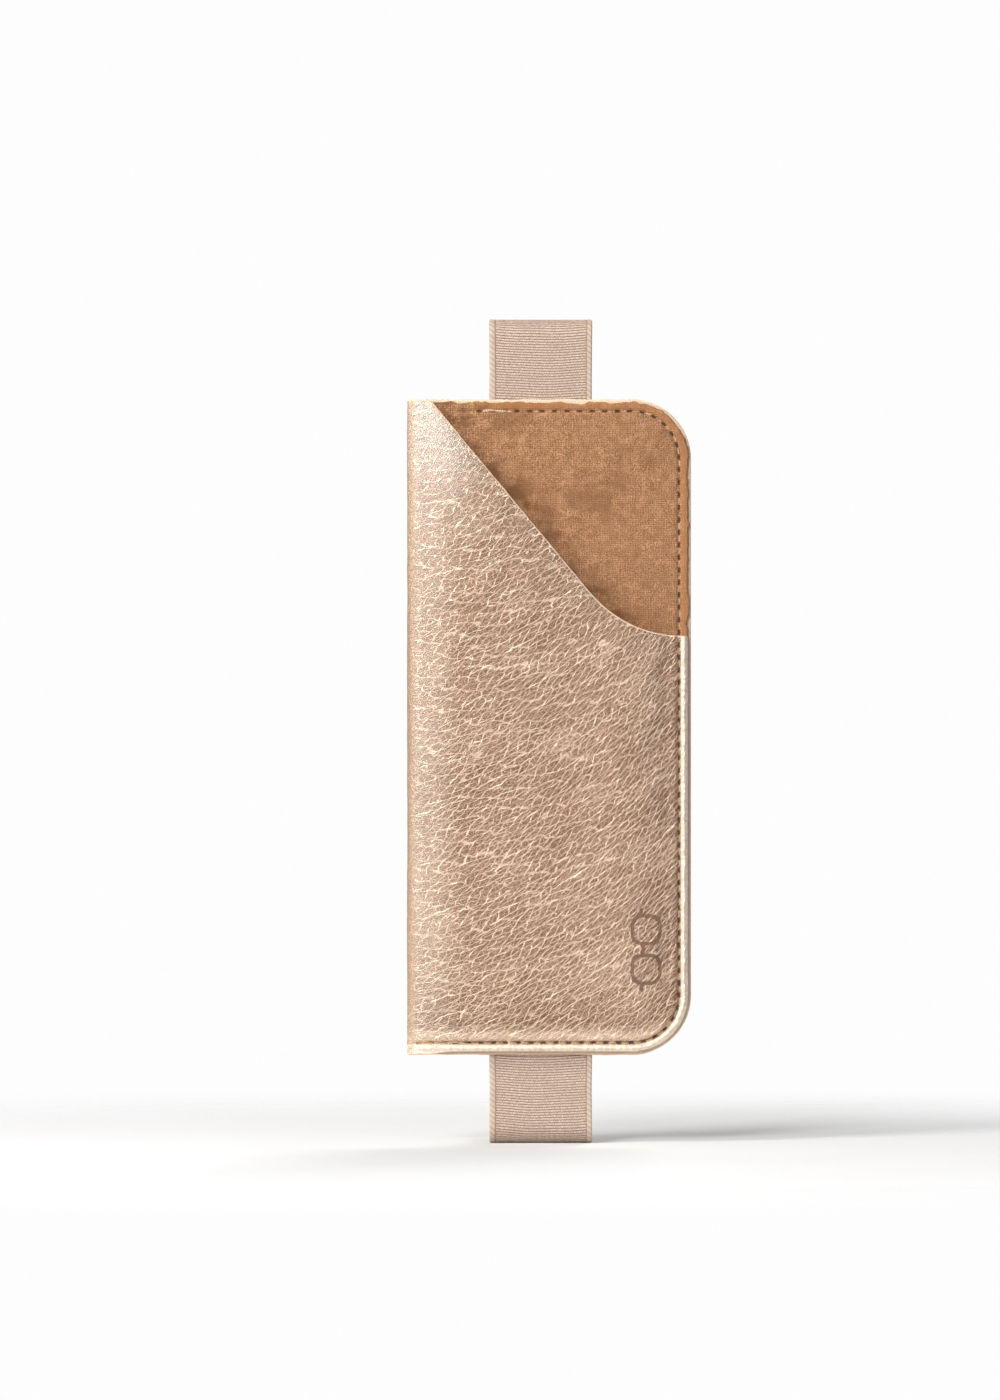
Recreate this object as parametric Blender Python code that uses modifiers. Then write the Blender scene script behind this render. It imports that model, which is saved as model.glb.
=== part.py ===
"""Soft pouch glasses case that straps on a book by an elastic band, with an elastic pen loop.

Frame: X to the right, Y to the back, Z up towards the mouth. The origin is the centre of the flat
back face. The outer leather is folded along the left side and sewn along the bottom and the right.
The front panel ends in a slanting lip, above which the lined back panel shows.
"""

import math

import bmesh
import bpy

MM = 0.001

# Overall size of the closed pouch, fold to sewn edge and bottom to top.
PANEL_WIDTH = 70.4 * MM
PANEL_LENGTH = 162.5 * MM
CORNER_RADIUS = 14.8 * MM
LEAST_RADIUS = 0.5 * MM

# Layers, counted from the back face forwards.
LEATHER = 0.8 * MM
ELASTIC = 1.0 * MM
BOARD = 0.5 * MM
VELOUR = 0.7 * MM
GAP = 0.3 * MM
POCKET_DEPTH = 4.6 * MM

# Fold on the left, and the sewn margin where the front comes down to the back panel.
FOLD_DEPTH = 5.0 * MM
SEAM_FLAT = 4.5 * MM
MARGIN = 12.0 * MM

# Mouth: a straight lip from the top, ending in an arc that is level at the sewn side.
MOUTH_START = 5.2 * MM
MOUTH_DROP = 59.0 * MM
MOUTH_RADIUS = 30.0 * MM
MOUTH_LEVEL = 2.2 * MM
LINING_BACKSET = 1.5 * MM

# Trimming of the layers inside the back panel.
VELOUR_INSET = 1.1 * MM
FOAM_INSET = 6.0 * MM

# Lockstitch seam.
SEAM_INSET = 3.0 * MM
STITCH = 3.1 * MM
THREAD_RADIUS = 0.28 * MM
THREAD_WAVE = 0.15 * MM
SEAM_START = 3.0 * MM
SEAM_END = 16.3 * MM

# Elastic band round the book cover.
BAND_WIDTH = 25.4 * MM
BAND_OFFSET = -2.1 * MM
BAND_TOP = 20.0 * MM
BAND_BOTTOM = 22.0 * MM
BAND_CORNER = 4.0 * MM
BOOK_GAP = 10.0 * MM
TAB_LENGTH = 10.0 * MM

# Pen loop of the same elastic, sewn on the back by the right seam and folded behind the pouch.
PEN_LOOP_DROP = 97.5 * MM
PEN_LOOP_WIDTH = 25.4 * MM
PEN_BORE_DEPTH = 5.2 * MM
PEN_BORE_LENGTH = 14.3 * MM
PEN_AXIS_INSET = 1.3 * MM
PEN_NECK_REACH = 0.5 * MM
PEN_TAB_LENGTH = 7.0 * MM

# Resting area on the back face, which stands proud of the pressed border round it.
REST_RELIEF = 0.2 * MM
REST_INSET = 12.0 * MM
PEN_CLEARANCE = 1.0 * MM

# Places that follow from the sizes above.
LEFT = -PANEL_WIDTH / 2
RIGHT = PANEL_WIDTH / 2
TOP = PANEL_LENGTH / 2
BOTTOM = -PANEL_LENGTH / 2
FOLD_X = LEFT + FOLD_DEPTH
LAYER_Y = -LEATHER - GAP                      # back of the foam and of the elastic's sewn ends
BOARD_Y = LAYER_Y - ELASTIC - GAP
LINING_Y = BOARD_Y - BOARD - GAP
POCKET_Y = LINING_Y - VELOUR
FRONT_LINING_Y = POCKET_Y - POCKET_DEPTH
CROWN_Y = FRONT_LINING_Y - VELOUR - GAP - LEATHER
SEAM_Y = POCKET_Y - GAP - LEATHER
BORDER_Y = -REST_RELIEF                       # back face of the pressed border, under the seam
BAND_LEFT = BAND_OFFSET - BAND_WIDTH / 2
BAND_RIGHT = BAND_OFFSET + BAND_WIDTH / 2
PEN_LOOP_Z = TOP - PEN_LOOP_DROP
PEN_TAB_BACK = BORDER_Y + GAP + ELASTIC       # back face of the pen loop's sewn end
PEN_WALL_BACK = PEN_TAB_BACK + GAP + 2 * THREAD_RADIUS + THREAD_WAVE + GAP + ELASTIC
PEN_AXIS_X = RIGHT - PEN_AXIS_INSET
PEN_AXIS_Y = (PEN_WALL_BACK + GAP) / 2
PEN_BEND = (PEN_BORE_DEPTH + ELASTIC) / 2     # radius of the middle of the loop's wall
PEN_NEAR_X = 2 * PEN_AXIS_X - RIGHT - GAP - PEN_BEND - ELASTIC / 2
PEN_FAR_X = PEN_NEAR_X - (PEN_BORE_LENGTH - PEN_BORE_DEPTH)


def clear_scene():
    """Remove every object of the open scene."""
    for obj in list(bpy.data.objects):
        bpy.data.objects.remove(obj)


def new_collection(name):
    """Make a collection and link it to the scene."""
    group = bpy.data.collections.new(name)
    bpy.context.scene.collection.children.link(group)
    return group


def finish(obj, group, colour, roughness, metallic=0.0):
    """Link an object to its collection and give it a Principled material of its own."""
    group.objects.link(obj)
    material = bpy.data.materials.new(obj.name)
    material.use_nodes = True
    shader = material.node_tree.nodes["Principled BSDF"]
    shader.inputs["Base Color"].default_value = (*colour, 1.0)
    shader.inputs["Roughness"].default_value = roughness
    shader.inputs["Metallic"].default_value = metallic
    obj.data.materials.append(material)
    return obj


def arc(centre_x, centre_z, radius, start_deg, end_deg, steps):
    """Points of an arc in the XZ plane, both ends included."""
    points = []
    for step in range(steps + 1):
        angle = math.radians(start_deg + (end_deg - start_deg) * step / steps)
        points.append((centre_x + radius * math.cos(angle), centre_z + radius * math.sin(angle)))
    return points


def smooth(value):
    """Ease from 0 to 1 with level ends."""
    value = min(max(value, 0.0), 1.0)
    return value * value * (3 - 2 * value)


# ---------------------------------------------------------------- outlines

def lip_tangent():
    """Where the straight lip meets its arc, and the arc's centre."""
    start_x, start_z = LEFT + MOUTH_START, TOP
    centre_x, centre_z = RIGHT - MOUTH_LEVEL, TOP - MOUTH_DROP + MOUTH_RADIUS
    reach = math.hypot(centre_x - start_x, centre_z - start_z)
    heading = math.atan2(centre_z - start_z, centre_x - start_x) - math.asin(MOUTH_RADIUS / reach)
    straight = math.sqrt(reach ** 2 - MOUTH_RADIUS ** 2)
    tangent_x = start_x + straight * math.cos(heading)
    tangent_z = start_z + straight * math.sin(heading)
    return tangent_x, tangent_z, centre_x, centre_z


def lip_height(x):
    """Height of the mouth's lip at x: straight, then the arc, then level."""
    tangent_x, tangent_z, centre_x, centre_z = lip_tangent()
    start_x = LEFT + MOUTH_START
    if x <= tangent_x:
        share = (x - start_x) / (tangent_x - start_x)
        return TOP + (tangent_z - TOP) * max(share, 0.0)
    reach = min(x, centre_x) - centre_x
    return centre_z - math.sqrt(MOUTH_RADIUS ** 2 - reach ** 2)


def corner(inset):
    """Radius of the sewn side's corners at a distance inside the edge, and their centres."""
    radius = max(CORNER_RADIUS - inset, LEAST_RADIUS)
    return radius, RIGHT - inset - radius, BOTTOM + inset + radius, TOP - inset - radius


def back_outline(inset, left_x):
    """Outline of a layer of the back panel: square at the fold, round at the sewn side."""
    radius, centre_x, low_z, high_z = corner(inset)
    points = [(left_x, BOTTOM + inset)]
    points += arc(centre_x, low_z, radius, -90, 0, 10)
    points += arc(centre_x, high_z, radius, 0, 90, 10)
    points.append((left_x, TOP - inset))
    return points


def foam_outline():
    """Outline of the foam, notched round the sewn-in ends of the band."""
    radius, centre_x, low_z, high_z = corner(FOAM_INSET)
    low, high = BOTTOM + FOAM_INSET, TOP - FOAM_INSET
    notch = TAB_LENGTH + GAP
    band_from, band_to = BAND_LEFT - GAP, BAND_RIGHT + GAP
    points = [(FOLD_X + GAP, low), (band_from, low), (band_from, BOTTOM + notch)]
    points += [(band_to, BOTTOM + notch), (band_to, low)]
    points += arc(centre_x, low_z, radius, -90, 0, 6)
    points += arc(centre_x, high_z, radius, 0, 90, 6)
    points += [(band_to, high), (band_to, TOP - notch), (band_from, TOP - notch)]
    points += [(band_from, high), (FOLD_X + GAP, high)]
    return points


def crown_outline(backset):
    """Outline of the front panel inside the sewn margin, up to a lip lowered by backset."""
    inset = MARGIN + GAP
    radius, centre_x, low_z, _ = corner(inset)
    left, right = FOLD_X + GAP, RIGHT - inset
    points = [(left, BOTTOM + inset)]
    points += arc(centre_x, low_z, radius, -90, 0, 5)
    tangent_x, _, level_x, _ = lip_tangent()
    arc_steps = 14
    samples = [level_x + (tangent_x - level_x) * step / arc_steps for step in range(arc_steps + 1)]
    stops = [right] + [x for x in samples if left < x < right - GAP] + [left]
    points += [(x, lip_height(x) - backset) for x in stops]
    return points


# ---------------------------------------------------------------- piece makers

def flat_panel(name, outline, back_y, thickness):
    """A flat layer: a filled 2D curve stood upright, with its back face at back_y."""
    data = bpy.data.curves.new(name, "CURVE")
    data.dimensions = "2D"
    data.fill_mode = "BOTH"
    data.extrude = thickness / 2
    spline = data.splines.new("POLY")
    spline.points.add(len(outline) - 1)
    for point, (x, z) in zip(spline.points, outline):
        point.co = (x, z, 0.0, 1.0)
    spline.use_cyclic_u = True
    panel = bpy.data.objects.new(name, data)
    panel.rotation_euler = (math.pi / 2, 0.0, 0.0)
    panel.location = (0.0, back_y - thickness / 2, 0.0)
    return panel


def bent_sheet(name, rows, thickness):
    """A bent sheet: a grid shaped to rows of points on its middle surface, given its thickness."""
    across, along = len(rows[0]) - 1, len(rows) - 1
    mesh = bpy.data.meshes.new(name)
    shape = bmesh.new()
    bmesh.ops.create_grid(shape, x_segments=across, y_segments=along, size=0.5)
    for vert in shape.verts:
        column = round((vert.co.x + 0.5) * across)
        row = round((vert.co.y + 0.5) * along)
        vert.co = rows[row][column]
    shape.to_mesh(mesh)
    shape.free()
    sheet = bpy.data.objects.new(name, mesh)
    wall = sheet.modifiers.new("Thickness", "SOLIDIFY")
    wall.thickness = thickness
    wall.offset = 0.0
    wall.use_even_offset = True
    return sheet


def thread(name, points):
    """A sewing thread: a thin round tube through the given points."""
    data = bpy.data.curves.new(name, "CURVE")
    data.dimensions = "3D"
    data.bevel_depth = THREAD_RADIUS
    data.bevel_resolution = 1
    data.use_fill_caps = True
    spline = data.splines.new("POLY")
    spline.points.add(len(points) - 1)
    for point, place in zip(spline.points, points):
        point.co = (*place, 1.0)
    return bpy.data.objects.new(name, data)


# ---------------------------------------------------------------- back panel and fold

def as_mesh(curve):
    """Turn a flat panel's curve into a mesh object with welded caps."""
    bpy.context.scene.collection.objects.link(curve)
    bpy.context.view_layer.update()
    graph = bpy.context.evaluated_depsgraph_get()
    mesh = bpy.data.meshes.new_from_object(curve.evaluated_get(graph))
    place = curve.matrix_world.copy()
    name = curve.name
    bpy.data.objects.remove(curve)
    shape = bmesh.new()
    shape.from_mesh(mesh)
    bmesh.ops.remove_doubles(shape, verts=shape.verts, dist=0.01 * MM)
    shape.to_mesh(mesh)
    shape.free()
    panel = bpy.data.objects.new(name, mesh)
    panel.matrix_world = place
    return panel


def box(name, low, high):
    """A box between two corners."""
    mesh = bpy.data.meshes.new(name)
    shape = bmesh.new()
    bmesh.ops.create_cube(shape, size=1.0)
    for vert in shape.verts:
        vert.co = [a + (b - a) * (share + 0.5) for a, b, share in zip(low, high, vert.co)]
    shape.to_mesh(mesh)
    shape.free()
    return bpy.data.objects.new(name, mesh)


def back_leather(guides):
    """Outer leather of the back: a thinner pressed border round the resting area."""
    outline = back_outline(0.0, FOLD_X + GAP / 2)
    sheet = as_mesh(flat_panel("back_leather", outline, BORDER_Y, LEATHER - REST_RELIEF))
    left, right = LEFT + REST_INSET, PEN_FAR_X - PEN_BEND - ELASTIC / 2 - PEN_CLEARANCE
    low = (left, -LEATHER / 2, BOTTOM + REST_INSET)
    high = (right, 0.0, TOP - REST_INSET)
    area = box("resting_area", low, high)
    area.hide_render = True
    area.display_type = "WIRE"
    guides.objects.link(area)
    union = sheet.modifiers.new("Resting area", "BOOLEAN")
    union.operation = "UNION"
    union.object = area
    return sheet


def margin_rise(distance):
    """How far the front leather stands forward of the seam at a distance inside the edge."""
    return (SEAM_Y - CROWN_Y) * smooth((distance - SEAM_FLAT) / (MARGIN - SEAM_FLAT))


def margin_stops():
    """Distances inside the edge at which the sewn margin has its points."""
    slope_steps = 6
    slope = [SEAM_FLAT + (MARGIN - SEAM_FLAT) * step / slope_steps for step in range(slope_steps + 1)]
    return [0.0, SEAM_FLAT / 2] + slope


def half_ellipse(centre_y, half_x, half_y, z, steps=12):
    """A row of points that runs round the fold, from its back end to its front end."""
    row = []
    for step in range(steps + 1):
        angle = math.pi * step / steps
        row.append((FOLD_X - GAP / 2 - half_x * math.sin(angle), centre_y + half_y * math.cos(angle), z))
    return row


def fold_leather():
    """Outer leather round the fold, flattened towards the bottom seam."""
    levels = [BOTTOM + stop for stop in margin_stops()]
    levels += [levels[-1] + (TOP - levels[-1]) * step / 4 for step in range(1, 5)]
    rows = []
    for z in levels:
        front = SEAM_Y - margin_rise(z - BOTTOM)
        half_y = (-front - LEATHER) / 2
        rows.append(half_ellipse(front / 2, FOLD_DEPTH - GAP / 2 - LEATHER / 2, half_y, z))
    return bent_sheet("fold_leather", rows, LEATHER)


def fold_lining():
    """Velour round the inside of the fold, above the sewn margin."""
    back, front = LINING_Y - VELOUR / 2, FRONT_LINING_Y - VELOUR / 2
    half_x = FOLD_DEPTH - LEATHER - GAP - VELOUR - GAP
    ends = (BOTTOM + MARGIN + GAP, TOP - VELOUR_INSET)
    rows = [half_ellipse((back + front) / 2, half_x, (back - front) / 2, z) for z in ends]
    return bent_sheet("fold_lining", rows, VELOUR)


# ---------------------------------------------------------------- front panel

def front_margin():
    """Sewn margin of the front leather: along the bottom, round the corner and up to the lip."""
    bottom_steps, corner_steps, side_steps = 9, 10, 12
    start_x = FOLD_X + GAP / 2
    lines = []
    for stop in margin_stops():
        radius, centre_x, low_z, _ = corner(stop)
        line = []
        for step in range(bottom_steps):
            line.append((start_x + (centre_x - start_x) * step / bottom_steps, BOTTOM + stop))
        line += arc(centre_x, low_z, radius, -90, 0, corner_steps)
        x = RIGHT - stop
        for step in range(1, side_steps + 1):
            line.append((x, low_z + (lip_height(x) - low_z) * step / side_steps))
        lines.append([(x, margin_y(stop), z) for x, z in line])
    rows = [list(row) for row in zip(*lines)]
    return bent_sheet("front_margin", rows, LEATHER)


def margin_y(stop):
    """Middle of the margin's leather at a distance inside the edge."""
    return SEAM_Y + LEATHER / 2 - margin_rise(stop)


def front_leather():
    """Outer leather of the front, inside the sewn margin, which moves forward as the pouch fills."""
    return flat_panel("front_leather", crown_outline(0.0), CROWN_Y + LEATHER, LEATHER)


def front_lining():
    """Velour behind the front leather."""
    return flat_panel("front_lining", crown_outline(LINING_BACKSET), FRONT_LINING_Y, VELOUR)


# ---------------------------------------------------------------- seam

def seam_point(distance):
    """Point on the seam line at a distance from its bottom left start, and the line's length."""
    radius, centre_x, low_z, high_z = corner(SEAM_INSET)
    start_x, end_x = FOLD_X + SEAM_START, LEFT + SEAM_END
    bend = radius * math.pi / 2
    bottom_run, side_run, top_run = centre_x - start_x, high_z - low_z, centre_x - end_x
    length = bottom_run + bend + side_run + bend + top_run
    if distance <= bottom_run:
        return start_x + distance, low_z - radius, length
    distance -= bottom_run
    if distance <= bend:
        angle = distance / radius - math.pi / 2
        return centre_x + radius * math.cos(angle), low_z + radius * math.sin(angle), length
    distance -= bend
    if distance <= side_run:
        return centre_x + radius, low_z + distance, length
    distance -= side_run
    if distance <= bend:
        angle = distance / radius
        return centre_x + radius * math.cos(angle), high_z + radius * math.sin(angle), length
    return centre_x - (distance - bend), high_z + radius, length


def seam_thread(name, surface, outward):
    """One thread of the lockstitch, lying on a surface and waving by the stitch."""
    length = seam_point(0.0)[2]
    count = round(length / (STITCH / 2))
    points = []
    for step in range(count + 1):
        x, z, _ = seam_point(length * step / count)
        rise = GAP + THREAD_RADIUS + THREAD_WAVE * (step % 2)
        points.append((x, surface(x, z) + outward * rise, z))
    return thread(name, points)


def needle_surface(x, z):
    """Front surface under the needle thread: sewn leather, then a step down to the velour."""
    step_start, step_end = 1.0 * MM, 3.0 * MM
    share = smooth((z - lip_height(x) - step_start) / (step_end - step_start))
    return SEAM_Y + (POCKET_Y - SEAM_Y) * share


def bobbin_surface(x, z):
    """Back surface under the bobbin thread: the flat leather, and the pen loop's sewn end."""
    step_length = 2.0 * MM
    outside = abs(z - PEN_LOOP_Z) - PEN_LOOP_WIDTH / 2 - STITCH / 2
    share = smooth(1 - outside / step_length) if x > 0 else 0.0
    return BORDER_Y + (PEN_TAB_BACK - BORDER_Y) * share


# ---------------------------------------------------------------- elastic

def band_run(name, y, low, high):
    """A flat upright run of the band, with its back face at y."""
    outline = [(BAND_LEFT, low), (BAND_RIGHT, low), (BAND_RIGHT, high), (BAND_LEFT, high)]
    return flat_panel(name, outline, y, ELASTIC)


def band_turn(name, end_z, side):
    """The band's turn over one edge of the book, from its front run to its rear run."""
    front, rear = LAYER_Y - ELASTIC / 2, BOOK_GAP + ELASTIC / 2
    level = end_z - side * ELASTIC / 2
    profile = []
    for step in range(7):
        angle = math.radians(15 * step)
        profile.append((front + BAND_CORNER * (1 - math.cos(angle)), BAND_CORNER * (math.sin(angle) - 1)))
    profile += [(front + rear - y, drop) for y, drop in reversed(profile)]
    rows = [[(x, y, level + side * drop) for x in (BAND_LEFT, BAND_RIGHT)] for y, drop in profile]
    return bent_sheet(name, rows, ELASTIC)


def elastic_band():
    """The band: two front runs sewn into the ends of the pouch, two turns and the rear run."""
    high, low = TOP + BAND_TOP, BOTTOM - BAND_BOTTOM
    turn = BAND_CORNER + ELASTIC / 2 + GAP
    return [
        band_run("band_top_front", LAYER_Y, TOP - TAB_LENGTH, high - turn),
        band_run("band_bottom_front", LAYER_Y, low + turn, BOTTOM + TAB_LENGTH),
        band_run("band_rear", BOOK_GAP + ELASTIC, low + turn, high - turn),
        band_turn("band_top_turn", high, 1),
        band_turn("band_bottom_turn", low, -1),
    ]


def pen_loop_tab():
    """The pen loop's end, sewn on the back of the leather under the side seam."""
    low, high = PEN_LOOP_Z - PEN_LOOP_WIDTH / 2, PEN_LOOP_Z + PEN_LOOP_WIDTH / 2
    right = PEN_AXIS_X - ELASTIC - GAP
    left = right - PEN_TAB_LENGTH
    outline = [(left, low), (right, low), (right, high), (left, high)]
    return flat_panel("pen_loop_tab", outline, PEN_TAB_BACK, ELASTIC)


def pen_loop():
    """The pen loop, folded behind the pouch: its neck, its front wall, its back wall and its end."""
    neck_x = PEN_AXIS_X + PEN_NECK_REACH
    wall_y = PEN_WALL_BACK - ELASTIC / 2
    neck_bend = wall_y - PEN_AXIS_Y
    middle = PEN_WALL_BACK + PEN_BORE_DEPTH / 2
    end_angle = math.degrees(math.asin((PEN_BORE_DEPTH / 2 - GAP) / (PEN_BEND + ELASTIC / 2)))
    path = arc(neck_x - neck_bend, PEN_AXIS_Y, neck_bend, 0, 90, 5)
    path += arc(PEN_FAR_X, middle, PEN_BEND, 270, 90, 12)
    path += arc(PEN_NEAR_X, middle, PEN_BEND, 90, -end_angle, 9)
    low, high = PEN_LOOP_Z - PEN_LOOP_WIDTH / 2, PEN_LOOP_Z + PEN_LOOP_WIDTH / 2
    rows = [[(x, y, z) for z in (low, high)] for x, y in path]
    return bent_sheet("pen_loop", rows, ELASTIC)


# ---------------------------------------------------------------- assembly

def build():
    """Make every piece of the case."""
    clear_scene()
    group = new_collection("glasses_case")
    guides = new_collection("guides")
    gold = (0.58, 0.38, 0.26)
    cream = (0.77, 0.61, 0.46)
    velour = (0.48, 0.23, 0.11)
    elastic = (0.62, 0.46, 0.33)
    finish(back_leather(guides), group, gold, 0.42, 0.3)
    finish(fold_leather(), group, gold, 0.42, 0.3)
    finish(front_margin(), group, gold, 0.42, 0.3)
    finish(front_leather(), group, gold, 0.42, 0.3)
    foam = flat_panel("back_foam", foam_outline(), LAYER_Y, ELASTIC)
    finish(foam, group, (0.8, 0.78, 0.72), 0.9)
    board = flat_panel("back_board", back_outline(0.0, FOLD_X + GAP / 2), BOARD_Y, BOARD)
    finish(board, group, cream, 0.7)
    lining = flat_panel("back_lining", back_outline(VELOUR_INSET, FOLD_X + GAP / 2), LINING_Y, VELOUR)
    finish(lining, group, velour, 0.9)
    finish(front_lining(), group, velour, 0.9)
    finish(fold_lining(), group, velour, 0.9)
    finish(seam_thread("needle_thread", needle_surface, -1), group, (0.75, 0.58, 0.4), 0.5)
    finish(seam_thread("bobbin_thread", bobbin_surface, 1), group, (0.75, 0.58, 0.4), 0.5)
    for piece in elastic_band():
        finish(piece, group, elastic, 0.8)
    finish(pen_loop_tab(), group, elastic, 0.8)
    finish(pen_loop(), group, elastic, 0.8)


build()
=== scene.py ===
"""Soft pouch glasses case on an elastic book band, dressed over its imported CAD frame.

Lengths inside the classes are millimetres in the row frame: X right, Y away from the viewer,
Z up to the mouth. Meshes are written in metres.
"""

import logging
import math
from collections.abc import Callable
from dataclasses import dataclass
from enum import Enum

import bpy
import numpy as np
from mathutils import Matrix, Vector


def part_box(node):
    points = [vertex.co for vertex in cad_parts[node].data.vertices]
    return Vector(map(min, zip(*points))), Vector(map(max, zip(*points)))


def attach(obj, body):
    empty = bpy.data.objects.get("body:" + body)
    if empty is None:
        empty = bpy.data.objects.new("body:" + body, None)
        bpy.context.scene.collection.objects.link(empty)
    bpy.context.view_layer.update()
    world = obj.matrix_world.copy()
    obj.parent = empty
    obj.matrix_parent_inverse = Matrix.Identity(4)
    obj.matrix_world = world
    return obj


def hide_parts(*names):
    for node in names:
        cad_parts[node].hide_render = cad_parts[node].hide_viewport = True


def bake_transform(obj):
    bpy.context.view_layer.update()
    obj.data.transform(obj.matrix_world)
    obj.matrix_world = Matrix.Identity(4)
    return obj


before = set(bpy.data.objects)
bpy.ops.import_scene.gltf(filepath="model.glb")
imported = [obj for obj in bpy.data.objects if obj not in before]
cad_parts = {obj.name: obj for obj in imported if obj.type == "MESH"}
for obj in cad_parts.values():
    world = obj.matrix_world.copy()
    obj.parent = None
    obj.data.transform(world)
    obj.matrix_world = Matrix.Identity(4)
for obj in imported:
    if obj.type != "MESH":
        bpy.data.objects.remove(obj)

Array = np.ndarray
Piece = bpy.types.Object
Material = bpy.types.Material
Colour = tuple[float, float, float]
Socket = bpy.types.NodeSocket

MM = 0.001
# Rings of points round every sheet's cut edge.
EDGE_RINGS = 3
# A distance inside the outline at which nothing of the seam shows.
FAR_INSIDE = 99.0
# Turns a line of x and z upside down.
MIRROR = np.array([1.0, -1.0])
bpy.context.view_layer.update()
LOG = logging.getLogger("glasses_case")


class Body(Enum):
    """The bodies that pieces ride on."""

    POUCH = "pouch"
    FRONT = "front"
    BAND = "band_back"
    PEN = "pen_strap"


class Slot(Enum):
    """The record's material slots."""

    LEATHER = "leather"
    BOARD = "board"
    FOAM = "foam"
    VELOUR = "velour"
    THREAD = "thread"
    ELASTIC = "elastic"


# ---------------------------------------------------------------- numbers on arrays


def ease(value: Array | float, low: float, high: float) -> Array:
    """A smooth step, 3t squared less 2t cubed, with t going from 0 at low to 1 at high."""
    t = np.clip((value - low) / (high - low), 0.0, 1.0)
    return t * t * (3.0 - 2.0 * t)


def bump(value: Array, centre: float, width: float) -> Array:
    """A bell curve: e to the power of minus the squared distance from centre over width."""
    return np.exp(-(((value - centre) / width) ** 2))


def ripple(a: Array, b: Array, seed: int, waves: int = 14) -> Array:
    """A smooth random field of unit wavelength.

    It is the sum of plane waves in seeded directions, each with its own length and phase,
    divided by the root of half their number, so that it mostly stays within 1.5.

    Args:
        a: first coordinate, in wavelengths.
        b: second coordinate, in wavelengths.
        seed: picks the waves.
        waves: how many waves are added.

    Returns:
        The field's height at each point.
    """
    draw = np.random.default_rng(seed)
    turn, phase = draw.random((2, waves)) * 2.0 * math.pi
    rate = 2.0 * math.pi * draw.uniform(0.6, 1.5, waves)
    total = np.zeros(np.broadcast(a, b).shape)
    for t, p, r in zip(turn, phase, rate):
        total += np.sin(r * (a * math.cos(t) + b * math.sin(t)) + p)
    return total / math.sqrt(waves / 2.0)


def crowded(count: int, crowding: float) -> Array:
    """Shares from 0 to 1 that lie closer together at both ends: t less a sine of 2 pi t."""
    t = np.linspace(0.0, 1.0, count)
    return t - crowding * np.sin(2.0 * math.pi * t) / (2.0 * math.pi)


def leaning(count: int, lean: float) -> Array:
    """Shares from 0 to 1 whose steps shrink evenly, from 1 plus lean to 1 less lean."""
    t = np.linspace(0.0, 1.0, count)
    return t + lean * t * (1.0 - t)


def half_turn(steps: int) -> Array:
    """Angles inside a fold, from just over 0 to just under pi, as a column."""
    return np.linspace(0.0, math.pi, steps + 2)[1:-1, None]


def round_fold(start: Array, end: Array, turn: Array) -> Array:
    """Depths round a fold: the ends' mean plus half their difference by the turn's cosine."""
    return (start + end) / 2.0 + (start - end) / 2.0 * np.cos(turn)


def vectors(*parts: Array | float) -> Array:
    """Numbers widened to one shape, as vectors along a last axis."""
    return np.stack(np.broadcast_arrays(*parts), axis=-1)


def side_by_side(*panels: tuple[Array, Array, Array]) -> list[Array]:
    """The x, y and z of panels that follow one another across one grid."""
    return [np.concatenate(parts) for parts in zip(*panels)]


def lengths(line: Array) -> Array:
    """How far each point of a polyline lies along it."""
    steps = np.linalg.norm(np.diff(line, axis=0), axis=1)
    return np.concatenate([[0.0], np.cumsum(steps)])


def points_at(line: Array, at: Array) -> Array:
    """Points of a polyline at lengths along it."""
    return np.stack([np.interp(at, lengths(line), axis) for axis in line.T], axis=1)


def at_shares(line: Array, shares: Array) -> Array:
    """Points of a polyline at shares of its whole length."""
    return points_at(line, shares * lengths(line)[-1])


def even_path(line: Array, step: float) -> Array:
    """The same polyline with points about a step apart."""
    last = lengths(line)[-1]
    return points_at(line, np.linspace(0.0, last, int(round(last / step)) + 1))


def arc_points(
    centre: tuple[float, float], radius: float, start: float, stop: float, steps: int
) -> Array:
    """An arc in a plane: the centre plus the radius times cosine and sine.

    Args:
        centre: the arc's centre.
        radius: its radius.
        start: its first angle, in degrees.
        stop: its last angle, in degrees.
        steps: how many points it has.

    Returns:
        The points, one row each.
    """
    angle = np.radians(np.linspace(start, stop, steps))
    return vectors(centre[0] + radius * np.cos(angle), centre[1] + radius * np.sin(angle))


def filled(
    bottom: Array,
    top: Array,
    left: Array,
    right: Array,
    u: Array,
    v: Array,
) -> Array:
    """A grid stretched between four border lines.

    A point is the blend of bottom and top by v, plus the blend of left and right by u, less
    the blend of the four corners, which both of them count.

    Args:
        bottom: the line under the grid, from left to right.
        top: the line over it, from left to right.
        left: the line at its left, upwards.
        right: the line at its right, upwards.
        u: the columns' shares of the way across.
        v: the rows' shares of the way up.

    Returns:
        Points as (column, row, 2).
    """
    low, high = at_shares(bottom, u)[:, None], at_shares(top, u)[:, None]
    near, far = at_shares(left, v)[None], at_shares(right, v)[None]
    u, v = u[:, None, None], v[None, :, None]
    ends = (1.0 - v) * low + v * high
    corners = (1.0 - u) * ends[:1] + u * ends[-1:]
    return ends + (1.0 - u) * near + u * far - corners


def unit(vectors: Array) -> Array:
    """Vectors divided by their own lengths."""
    return vectors / np.maximum(np.linalg.norm(vectors, axis=-1, keepdims=True), 1e-12)


# ---------------------------------------------------------------- meshes


def put_object(name: str, data: bpy.types.ID) -> Piece:
    """A new object with this data, linked to the scene."""
    obj = bpy.data.objects.new(name, data)
    bpy.context.scene.collection.objects.link(obj)
    return obj


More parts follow.
